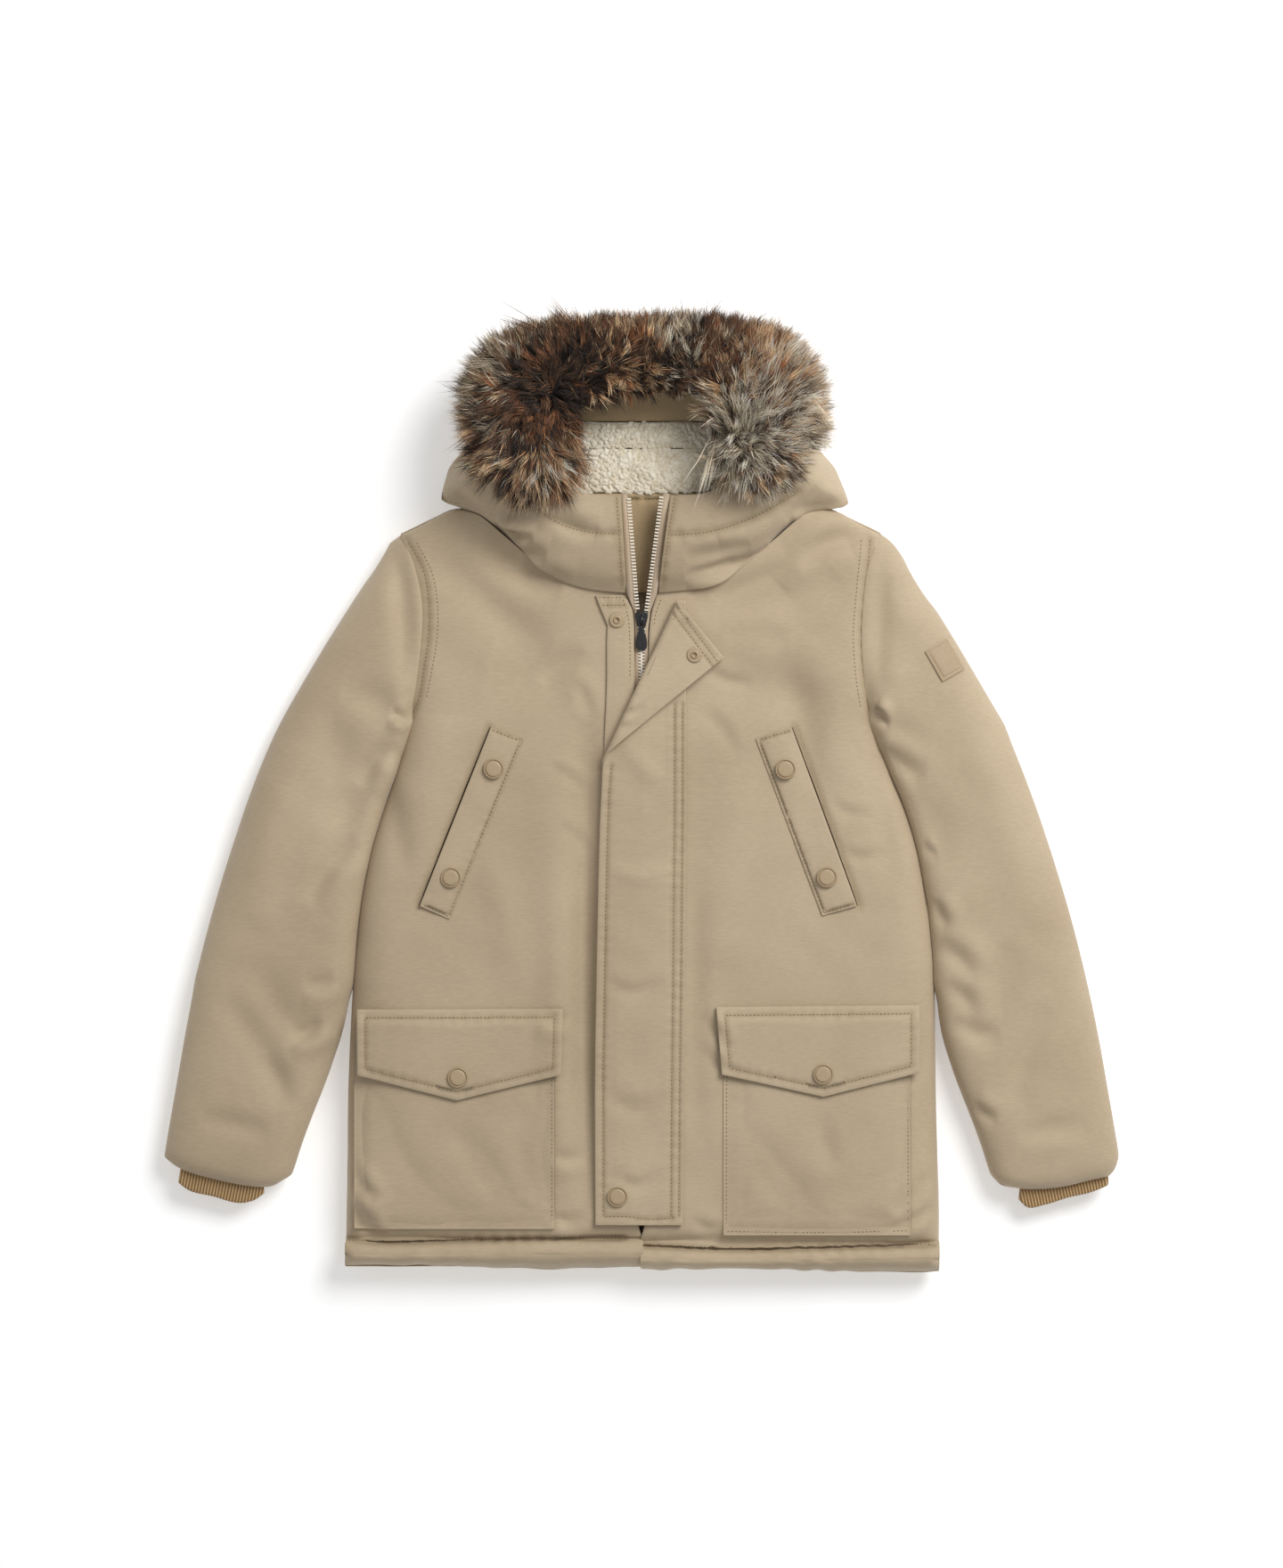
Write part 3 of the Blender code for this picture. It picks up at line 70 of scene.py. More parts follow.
def newMaterial(name, settings):
    made = bpy.data.materials.new(name)
    made.use_nodes = True
    for socket, value in settings.items():
        made.node_tree.nodes["Principled BSDF"].inputs[socket].default_value = value
    return made, made.node_tree


def linkSurface(made, sources):
    # the last nodes of a material go into its surface
    for socket, source in sources.items():
        made.node_tree.links.new(source, made.node_tree.nodes["Principled BSDF"].inputs[socket])
    return made


def smoothPath(points, step=2.0):
    # a smooth plan path through a few points, with a point every step mm
    points = np.asarray(points, float)
    length = np.concatenate([[0], np.cumsum(np.linalg.norm(np.diff(points, axis=0), axis=1))])
    at = np.linspace(0, length[-1], max(2, int(round(length[-1] / step)) + 1))
    gap = np.diff(length)
    slope = np.diff(points, axis=0) / gap[:, None]
    tangent = np.empty_like(points)
    tangent[0], tangent[-1] = slope[0], slope[-1]
    tangent[1:-1] = (slope[:-1] * gap[1:, None] + slope[1:] * gap[:-1, None]) / (gap[1:] + gap[:-1])[:, None]
    row = np.clip(np.searchsorted(length, at) - 1, 0, len(gap) - 1)
    t = ((at - length[row]) / gap[row])[:, None]
    h = gap[row][:, None]
    return ((2 * t**3 - 3 * t**2 + 1) * points[row] + (t**3 - 2 * t**2 + t) * h * tangent[row]
            + (3 * t**2 - 2 * t**3) * points[row + 1] + (t**3 - t**2) * h * tangent[row + 1])


def nearPath(plan, path):
    # signed distance from each plan point to the path, and how far along the path that is, in mm
    best = np.full(len(plan), 1e9)
    signed = np.zeros(len(plan))
    along = np.zeros(len(plan))
    done = 0.0
    for a, b in zip(path[:-1], path[1:]):
        run = float(np.hypot(*(b - a)))
        if run == 0:
            continue
        way = (b - a) / run
        offset = plan - a
        t = np.clip(offset @ way, 0, run)
        gap = offset - t[:, None] * way
        distance = np.hypot(gap[:, 0], gap[:, 1])
        side = way[0] * offset[:, 1] - way[1] * offset[:, 0]
        nearer = distance < best
        best = np.where(nearer, distance, best)
        signed = np.where(nearer, np.where(side < 0, -distance, distance), signed)
        along = np.where(nearer, done + t, along)
        done += run
    return signed, along, done


def readSpots(mesh):
    spots = np.empty(len(mesh.vertices) * 3)
    mesh.vertices.foreach_get("co", spots)
    normals = np.empty(len(mesh.vertices) * 3)
    mesh.vertex_normals.foreach_get("vector", normals)
    return spots.reshape(-1, 3) / mm, normals.reshape(-1, 3)


def writeSpots(mesh, spots):
    mesh.vertices.foreach_set("co", (spots * mm).ravel())
    mesh.update()


def planOf(spots):
    return spots[:, :2] - [0, planShift]


def smoothStep(t):
    # from 0 to 1, level at both ends
    t = np.clip(t, 0, 1)
    return t * t * (3 - 2 * t)


def bell(distance, reach):
    return np.exp(-(distance / reach)**2)


def openMesh(mesh):
    shape = bmesh.new()
    shape.from_mesh(mesh)
    return shape


def closeMesh(shape, mesh):
    shape.to_mesh(mesh)
    shape.free()


def partsOf(shape):
    # a small form's points and faces, to be copied many times
    points = np.array([vertex.co[:] for vertex in shape.verts])
    faces = [[vertex.index for vertex in face.verts] for face in shape.faces]
    shape.free()
    return points, faces


def addCopy(points, faces, morePoints, moreFaces):
    first = len(points)
    points.extend(morePoints)
    faces.extend([[first + i for i in face] for face in moreFaces])


def noteOnPoints(mesh, name, values):
    mesh.attributes.new(name, "FLOAT", "POINT").data.foreach_set("value", values)


def splitLargeFaces(shape):
    bmesh.ops.triangulate(shape, faces=[face for face in shape.faces if len(face.verts) > 4])


def lengthAlong(path):
    return np.concatenate([[0], np.cumsum(np.hypot(*np.diff(path, axis=0).T))])


def alignTo(piece, rows, within):
    # upper points close to a sewn row move onto it, so that its groove keeps a clean line
    spots, normals = readSpots(piece.data)
    plan = planOf(spots)
    for row in rows:
        signed, along, length = nearPath(plan, row)
        done = lengthAlong(row)
        close = (np.abs(signed) < within) & (along > 0.2) & (along < length - 0.2) & (normals[:, 2] > 0.8)
        plan[close, 0] = np.interp(along[close], done, row[:, 0])
        plan[close, 1] = np.interp(along[close], done, row[:, 1])
    spots[:, :2] = plan + [0, planShift]
    writeSpots(piece.data, spots)


def straighten(piece, row, across, sign):
    # slides the points so that a sewn row becomes a straight line, or back
    along = 1 - across
    spots, _ = readSpots(piece.data)
    place = spots[:, along] - planShift * along
    spots[:, across] += sign * (np.interp(place, row[:, along], row[:, across]) + planShift * across)
    writeSpots(piece.data, spots)


def cutAlong(piece, row, beside, across=1):
    # new edges on a row and at both sides of it, where its groove needs a clean line
    along = 1 - across   # the axis along which the row's points rise
    near, past = 8, 3    # mm: faces this near to the row, and this far past its ends, are cut
    low, high = (row[end, along] + planShift * along for end in (0, -1))
    straighten(piece, row, across, -1)
    shape = openMesh(piece.data)
    for offset in (0.0, beside, -beside):
        faces = []
        for face in shape.faces:
            centre = face.calc_center_median() / mm
            within = abs(centre[across]) < near and low - past < centre[along] < high + past
            if within and face.normal.z > 0.2:
                faces.append(face)
        edges = {edge for face in faces for edge in face.edges}
        verts = {vert for face in faces for vert in face.verts}
        bmesh.ops.bisect_plane(shape, geom=faces + list(edges) + list(verts), dist=0.1 * mm,
                               plane_co=(offset * mm * along, offset * mm * across, 0),
                               plane_no=(along, across, 0))
    splitLargeFaces(shape)
    closeMesh(shape, piece.data)
    straighten(piece, row, across, 1)


def addObject(name, data):
    made = bpy.data.objects.new(name, data)
    bpy.context.scene.collection.objects.link(made)
    return made


def putInScene(name, mesh, material, body="coat"):
    piece = addObject(name, mesh)
    mesh.materials.clear()
    mesh.materials.append(material)
    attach(piece, body)
    return piece


def meshOf(name, points, faces, smooth=True):
    # points in mm
    mesh = bpy.data.meshes.new(name)
    mesh.from_pydata((np.asarray(points) * mm).tolist(), [], faces)
    if smooth:
        mesh.shade_smooth()
    return mesh


def applyModifiers(piece):
    graph = bpy.context.evaluated_depsgraph_get()
    made = bpy.data.meshes.new_from_object(piece.evaluated_get(graph))
    old = piece.data
    piece.modifiers.clear()
    piece.data = made
    bpy.data.meshes.remove(old)
    made.name = piece.name


def refineUpperFaces(mesh):
    # the side that shows gets finer faces than the one inside the coat
    shape = openMesh(mesh)
    edges = {edge for face in shape.faces if face.normal.z > 0.15 for edge in face.edges}
    bmesh.ops.subdivide_edges(shape, edges=list(edges), cuts=1, use_grid_fill=True, smooth=0.0)
    closeMesh(shape, mesh)


def shellOf(nodeName, pieceName, material, levels, fineTop, rim=0.6, crispMm=0):
    # cloth on the form of a CAD solid: its flat faces rounded into one smooth surface;
    # with crispMm the corners stay, and edges longer than that are halved up to three times
    shape = openMesh(nodes[nodeName].data)
    bmesh.ops.remove_doubles(shape, verts=shape.verts, dist=1e-5)
    bmesh.ops.join_triangles(shape, faces=shape.faces, angle_face_threshold=math.radians(35),
                             angle_shape_threshold=math.radians(180))
    if rim:
        sharp = [edge for edge in shape.edges if edge.calc_face_angle(0) > math.radians(50)]
        bmesh.ops.bevel(shape, geom=sharp, offset=rim * mm, segments=2 if crispMm else 1, profile=0.5,
                        affect="EDGES", clamp_overlap=True)
    if crispMm:
        splitLargeFaces(shape)
        for _ in range(3):
            wide = [edge for edge in shape.edges if edge.calc_length() > crispMm * mm]
            bmesh.ops.subdivide_edges(shape, edges=wide, cuts=1, use_grid_fill=True)
            splitLargeFaces(shape)
        bmesh.ops.remove_doubles(shape, verts=shape.verts, dist=0.12 * mm)
        bmesh.ops.dissolve_degenerate(shape, dist=0.05 * mm, edges=shape.edges)
        bmesh.ops.recalc_face_normals(shape, faces=shape.faces)
    mesh = bpy.data.meshes.new(pieceName)
    closeMesh(shape, mesh)
    piece = putInScene(pieceName, mesh, material)
    if levels:
        rounding = piece.modifiers.new("rounding", "SUBSURF")
        rounding.levels = rounding.render_levels = levels
        rounding.subdivision_type = "SIMPLE" if crispMm else "CATMULL_CLARK"
        applyModifiers(piece)
    if fineTop:
        refineUpperFaces(piece.data)
    piece.data.shade_smooth()
    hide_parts(nodeName)
    return piece


def lift(piece, height, seamPaths=(), seamReach=3.0):
    # moves the side that shows outwards by height(plan) mm, and notes how near each point is to a sewn line,
    # which the shell's material turns into painted seam shade
    mesh = piece.data
    spots, normals = readSpots(mesh)
    plan = planOf(spots)
    shows = np.clip(normals[:, 2] * 1.4, 0, 1)
    writeSpots(mesh, spots + normals * (height(plan) * shows)[:, None])
    near = np.zeros(len(plan))
    for path in seamPaths:
        near = np.maximum(near, bell(nearPath(plan, path)[0], seamReach))
    noteOnPoints(mesh, "seamShade", near * shows)


def treeOf(pieces):
    # one ray casting tree over several pieces
    points, faces = [], []
    for piece in pieces:
        mesh = piece.data
        start = len(points)
        points.extend(v.co.copy() for v in mesh.vertices)
        faces.extend([start + i for i in face.vertices] for face in mesh.polygons)
    return BVHTree.FromPolygons(points, faces)


def dropOn(tree, x, y):
    # height in mm and normal of the surface straight under a pattern point
    place, normal, _, _ = tree.ray_cast(Vector((x * mm, (y + planShift) * mm, 0.5)), Vector((0, 0, -1)))
    if place is None:
        return None, None
    return place.z / mm, normal


# materials
waveSpan = 0.314   # m between the bands of a wave texture at scale 1
shellLook = {
    # the seam colour is painted shade, mixed in along sewn lines for the shade in their grooves
    "colour": "#b9a68a", "shade": "#a49176", "light": "#c9b89c", "seam": "#8a7554",
    "lineMm": 1.3,        # twill lines, really 0.5 mm apart, drawn coarser so that they show
    "lineHeightMm": 0.05, "lineTurn": 52,
    # pattern sizes keep their digits, because a rounded one moves the pattern's spots
    "cloudMm": 90.9091, "threadMm": (6.25, 1.11111, 3.33333), "crumpleMm": 10.5263, "crumpleHeightMm": 1.1,
    "roughness": 0.72, "sheen": 0.25,
}


def makeShellTwill():
    # cotton nylon twill, calendered: matt, with a faint diagonal and a soft sheen at grazing angles
    made, tree = newMaterial("calenderedCottonTwill", {
        "Roughness": shellLook["roughness"], "Sheen Weight": shellLook["sheen"], "Sheen Roughness": 0.45,
        "Specular IOR Level": 0.35})
    spot = addNode(tree, "TexCoord").outputs["Object"]
    broad = addNode(tree, "TexNoise", {"Scale": 1 / (shellLook["cloudMm"] * mm), "Detail": 3.0},
                    {"Vector": spot})
    stretched = addNode(tree, "Mapping", {"Scale": [1 / (size * mm) for size in shellLook["threadMm"]]},
                        {"Vector": spot})
    streak = addNode(tree, "TexNoise", {"Scale": 1.0, "Detail": 2.0}, {"Vector": stretched.outputs[0]})
    shade = addNode(tree, "MapRange", {"From Min": 0.3, "From Max": 0.7}, {"Value": broad.outputs[0]})
    cloth = addNode(tree, "Mix", {
        "data_type": "RGBA", 6: linear(shellLook["shade"]), 7: linear(shellLook["light"])},
        {0: shade.outputs[0]})
    even = addNode(tree, "Mix", {"data_type": "RGBA", 0: 0.72, 7: linear(shellLook["colour"])},
                   {6: cloth.outputs[2]})
    thread = addNode(tree, "MapRange", {"From Min": 0.35, "From Max": 0.65, "To Min": 0.955,
                     "To Max": 1.035}, {"Value": streak.outputs[0]})
    woven = addNode(tree, "Mix", {"data_type": "RGBA", "blend_type": "MULTIPLY", 0: 1.0},
                    {6: even.outputs[2], 7: thread.outputs[0]})
    # painted shade: near sewn lines the colour turns towards the darker seam colour, for the shade in grooves
    # too narrow for the mesh
    seam = addNode(tree, "Attribute", {"attribute_name": "seamShade"}).outputs["Fac"]
    paintedSeamShade = addNode(tree, "Math", {"operation": "MULTIPLY", 1: 0.4}, {0: seam})
    sewn = addNode(tree, "Mix", {"data_type": "RGBA", 7: linear(shellLook["seam"])},
                   {0: paintedSeamShade.outputs[0], 6: woven.outputs[2]})
    turned = addNode(tree, "Mapping", {"Rotation": (0, 0, math.radians(shellLook["lineTurn"]))},
                     {"Vector": spot})
    line = addNode(tree, "TexWave", {
        "wave_type": "BANDS", "bands_direction": "X", "Scale": waveSpan / (shellLook["lineMm"] * mm),
        "Distortion": 1.2, "Detail": 1.0}, {"Vector": turned.outputs[0]})
    lineBump = addNode(tree, "Bump", {"Strength": 0.35, "Distance": shellLook["lineHeightMm"] * mm},
                       {"Height": line.outputs["Fac"]})
    crumple = addNode(tree, "TexNoise", {"Scale": 1 / (shellLook["crumpleMm"] * mm), "Detail": 3.0,
                                         "Roughness": 0.55}, {"Vector": spot})
    seamCrumple = addNode(tree, "Math", {"operation": "MULTIPLY_ADD", 1: 0.8, 2: 0.12}, {0: seam})
    crumpleBump = addNode(tree, "Bump", {"Distance": shellLook["crumpleHeightMm"] * mm},
                          {"Height": crumple.outputs[0], "Strength": seamCrumple.outputs[0],
                           "Normal": lineBump.outputs[0]})
    return linkSurface(made, {"Base Color": sewn.outputs[2], "Normal": crumpleBump.outputs[0]})


def makePlainCloth(name, colour, shadeColour, roughness, sheen, grainMm):
    # plain woven cloth: an even square grain
    made, tree = newMaterial(name, {"Roughness": roughness, "Sheen Weight": sheen, "Specular IOR Level": 0.3})
    spot = addNode(tree, "TexCoord").outputs["Object"]
    broad = addNode(tree, "TexNoise", {"Scale": 1 / (33.3333 * mm), "Detail": 4.0}, {"Vector": spot})
    cloth = addNode(tree, "Mix", {"data_type": "RGBA", 6: linear(colour), 7: linear(shadeColour)},
                    {0: broad.outputs[0]})
    scale = waveSpan / (grainMm * mm)
    warp = addNode(tree, "TexWave", {"bands_direction": "X", "Scale": scale, "Distortion": 0.6},
                   {"Vector": spot})
    weft = addNode(tree, "TexWave", {"bands_direction": "Y", "Scale": scale, "Distortion": 0.6},
                   {"Vector": spot})
    grain = addNode(tree, "Math", {"operation": "ADD"}, {0: warp.outputs["Fac"], 1: weft.outputs["Fac"]})
    bump = addNode(tree, "Bump", {"Strength": 0.5, "Distance": 0.00015}, {"Height": grain.outputs[0]})
    return linkSurface(made, {"Base Color": cloth.outputs[2], "Normal": bump.outputs[0]})


def makePile():
    # knitted acrylic pile, brushed into curls: matt cream; painted shade makes it darker between and below the
    # curls, with some tone that differs at random
    made, tree = newMaterial("curledAcrylicPile", {
        "Roughness": 0.95, "Sheen Weight": 0.5, "Specular IOR Level": 0.15, "Subsurface Weight": 0.3,
        "Subsurface Radius": (0.003, 0.0025, 0.002)})
    spot = addNode(tree, "TexCoord").outputs["Object"]
    curls = addNode(tree, "TexVoronoi", {"feature": "SMOOTH_F1", "Scale": 1 / (3.0303 * mm), "Smoothness": 0.6},
                    {"Vector": spot})
    fuzz = addNode(tree, "TexNoise", {"Scale": 1 / (1.11111 * mm), "Detail": 3.0}, {"Vector": spot})
    shadeAndTone = addNode(tree, "Attribute", {"attribute_name": "curlShadeAndTone"}).outputs["Fac"]
    cream = addNode(tree, "Mix", {"data_type": "RGBA", 6: linear("#cdc0a4"), 7: linear("#f1e9d8")},
                    {0: shadeAndTone})
    first = addNode(tree, "Bump", {"Strength": 0.3, "Distance": 0.0006, "invert": True},
                    {"Height": curls.outputs["Distance"]})
    second = addNode(tree, "Bump", {"Strength": 0.35, "Distance": 0.0004},
                     {"Height": fuzz.outputs[0], "Normal": first.outputs[0]})
    return linkSurface(made, {"Base Color": cream.outputs[2], "Normal": second.outputs[0]})


def makeFurHair():
    # modacrylic fur: each hair has its own colour from root to tip, and a soft gloss
    made, tree = newMaterial("modacrylicHair", {
        "Roughness": 0.5, "Specular IOR Level": 0.3, "Sheen Weight": 0.15})
    colour = addNode(tree, "Attribute", {"attribute_name": "hairColour"})
    return linkSurface(made, {"Base Color": colour.outputs["Color"]})


def makeFurBase():
    # knitted backing under the fur; its near black colour is painted shade, the depth between the hairs
    made, tree = newMaterial("furBackingPaintedShade", {"Roughness": 1.0, "Specular IOR Level": 0.1})
    spot = addNode(tree, "TexCoord").outputs["Object"]
    patches = addNode(tree, "TexNoise", {"Scale": 1 / (16.6667 * mm), "Detail": 5.0}, {"Vector": spot})
    dark = addNode(tree, "Mix", {"data_type": "RGBA", 6: linear("#17110d"), 7: linear("#3d2e22")},
                   {0: patches.outputs[0]})
    bump = addNode(tree, "Bump", {"Strength": 1.0, "Distance": 0.003}, {"Height": patches.outputs[0]})
    return linkSurface(made, {"Base Color": dark.outputs[2], "Normal": bump.outputs[0]})


ribbing = {"pitchMm": 2.4, "cuff_right": (0.979, -0.206), "cuff_left": (0.979, 0.206)}   # with the way across


def makeRibKnit():
    # cotton rib knit: warmer than the shell, raised ribs; the darker furrows between them are painted shade
    made, tree = newMaterial("cottonRibKnit", {
        "Roughness": 0.9, "Sheen Weight": 0.4, "Specular IOR Level": 0.2})
    spot = addNode(tree, "TexCoord").outputs["Object"]
    tone = addNode(tree, "TexNoise", {"Scale": 1 / (3.33333 * mm), "Detail": 4.0}, {"Vector": spot})
    place = addNode(tree, "Attribute", {"attribute_name": "ribPlace"}).outputs["Fac"]
    turn = addNode(tree, "Math", {"operation": "MULTIPLY", 1: 2 * math.pi / ribbing["pitchMm"]},
                   {0: place})
    wave = addNode(tree, "Math", {"operation": "SINE"}, {0: turn.outputs[0]})
    rib = addNode(tree, "MapRange", {"From Min": -0.9, "From Max": 0.6},
                  {"Value": wave.outputs[0]})
    high = addNode(tree, "Mix", {"data_type": "RGBA", 6: linear("#bf9b6b"), 7: linear("#d9b685")},
                   {0: tone.outputs[0]})
    # painted shade: the colour darkens in each furrow between the ribs
    ribShaded = addNode(tree, "Mix", {"data_type": "RGBA", 6: linear("#8c6c44")},
                   {0: rib.outputs[0], 7: high.outputs[2]})
    bump = addNode(tree, "Bump", {"Strength": 1.0, "Distance": 0.0008}, {"Height": rib.outputs[0]})
    return linkSurface(made, {"Base Color": ribShaded.outputs[2], "Normal": bump.outputs[0]})


def makeMoulded(name, colour, markColour, roughness, coat=0.0):
    # moulded or cast piece: nearly even, with faint flow marks in its colour and gloss
    made, tree = newMaterial(name, {"Roughness": roughness, "Coat Weight": coat, "Coat Roughness": 0.12})
    spot = addNode(tree, "TexCoord").outputs["Object"]
    marks = addNode(tree, "TexNoise", {"Scale": 1 / (2.5 * mm), "Detail": 3.0}, {"Vector": spot})
    tone = addNode(tree, "Mix", {"data_type": "RGBA", 6: linear(colour), 7: linear(markColour)},
                   {0: marks.outputs[0]})
    gloss = addNode(tree, "MapRange", {"To Min": roughness - 0.06, "To Max": roughness + 0.1},
                    {"Value": marks.outputs[0]})
    bump = addNode(tree, "Bump", {"Strength": 0.2, "Distance": 0.00008}, {"Height": marks.outputs[0]})
    return linkSurface(made, {"Base Color": tone.outputs[2],
                         "Roughness": gloss.outputs[0],
                         "Normal": bump.outputs[0]})


shellTwill = makeShellTwill()
pileKnit = makePile()
furHair = makeFurHair()
furBase = makeFurBase()
ribKnit = makeRibKnit()
# polyester woven plain: smoother and a little darker than the shell
facingCloth = makePlainCloth("wovenPolyesterFacing", "#c2ab86", "#ae9671", 0.7, 0.15, 1.2)
# painted shadow in each pocket's open side: a thin dark line
mouthShadowCloth = makePlainCloth("paintedMouthShadow", "#4a3b29", "#3b2e1f", 0.85, 0.1, 0.8)
# dense narrow weave: pinker and paler than the shell
zipTape = makePlainCloth("wovenPolyesterZipTape", "#cdb9a1", "#bda88e", 0.75, 0.2, 1.1)
# twisted thread under tension: a fine dark dash
sewingThread = makePlainCloth("corespunPolyesterThread", "#93805d", "#857250", 0.6, 0.2, 0.5)
# injection moulded acetal: near white with a soft gloss
zipTeeth = makeMoulded("mouldedAcetalTeeth", "#f8efe2", "#e8dccb", 0.32)
# injection moulded nylon, coloured to the shell: satin
snapPlastic = makeMoulded("mouldedNylonSnap", "#b7a182", "#ab9574", 0.45)
# zinc casting under black lacquer: the lacquer is what shows, smooth and glossy
sliderMetal = makeMoulded("lacqueredZincCasting", "#121214", "#242427", 0.24, coat=0.5)
# compression moulded silicone: matt
patchRubber = makeMoulded("mouldedSiliconePatch", "#af997b", "#a48d6f", 0.55)
print("materials made")

# sewn lines, as plan points in mm
sewnLines = {
    "armholeRight": ((-184.8, 198.8), (-171, 172), (-167.3, 149), (-167.3, 122.5), (-171, 96), (-175, 73),
                     (-181, 58)),
    "armholeRightInner": ((-177, 196), (-164.5, 171), (-160.5, 149), (-160.5, 122.5), (-164.5, 96),
                          (-169, 73)),
    "armholeLeft": ((180, 198), (176.4, 158.2), (173.6, 122.5), (175.7, 86.8), (180, 62)),
    "armholeLeftInner": ((173, 198), (169, 158), (166.5, 122.5), (168.8, 86.8), (172.5, 64)),
    "hemRight": ((-232.4, -352.8), (-216, -354.2), (-148, -353.5), (-80, -352.1), (-14, -351.4)),
    "hemLeft": ((2.1, -357.7), (50, -359.5), (125, -359.1), (229.6, -356.3)),
    "collarRight": ((-18, 201.6), (-31, 201.6), (-55, 205.8), (-74, 215), (-88, 228)),
    "collarLeft": ((22.4, 200.2), (50.4, 202.3), (86, 213.5), (122.5, 233.8)),
    "zipCollarRight": ((-19.6, 229.6), (-17.5, 200), (-15.4, 160)),
    "zipCollarLeft": ((26, 229.6), (21, 200), (16.3, 160)),
    "zipFrontRight": ((-14.6, 151), (-10.5, 136), (-9.2, 120), (-9, 90)),
    "zipFrontLeft": ((15.4, 151), (10.8, 138), (9.6, 128)),
    "pocketSeamRight": ((-70.5, -186), (-70.5, -340)),
    "pocketSeamLeft": ((67, -186), (66.5, -345)),
    "pocketSideLeft": ((209.5, -186), (209.5, -345)),
    "pocketFootLeft": ((67, -346), (130, -347), (209, -345.5)),
    "mouthRight": ((-119.8, 50.6), (-147.8, -20), (-176, -90.6)),
    "mouthLeft": ((119.8, 50.6), (145.5, -20), (171.2, -90.6)),
}
sewnPaths = {name: smoothPath(points) for name, points in sewnLines.items()}

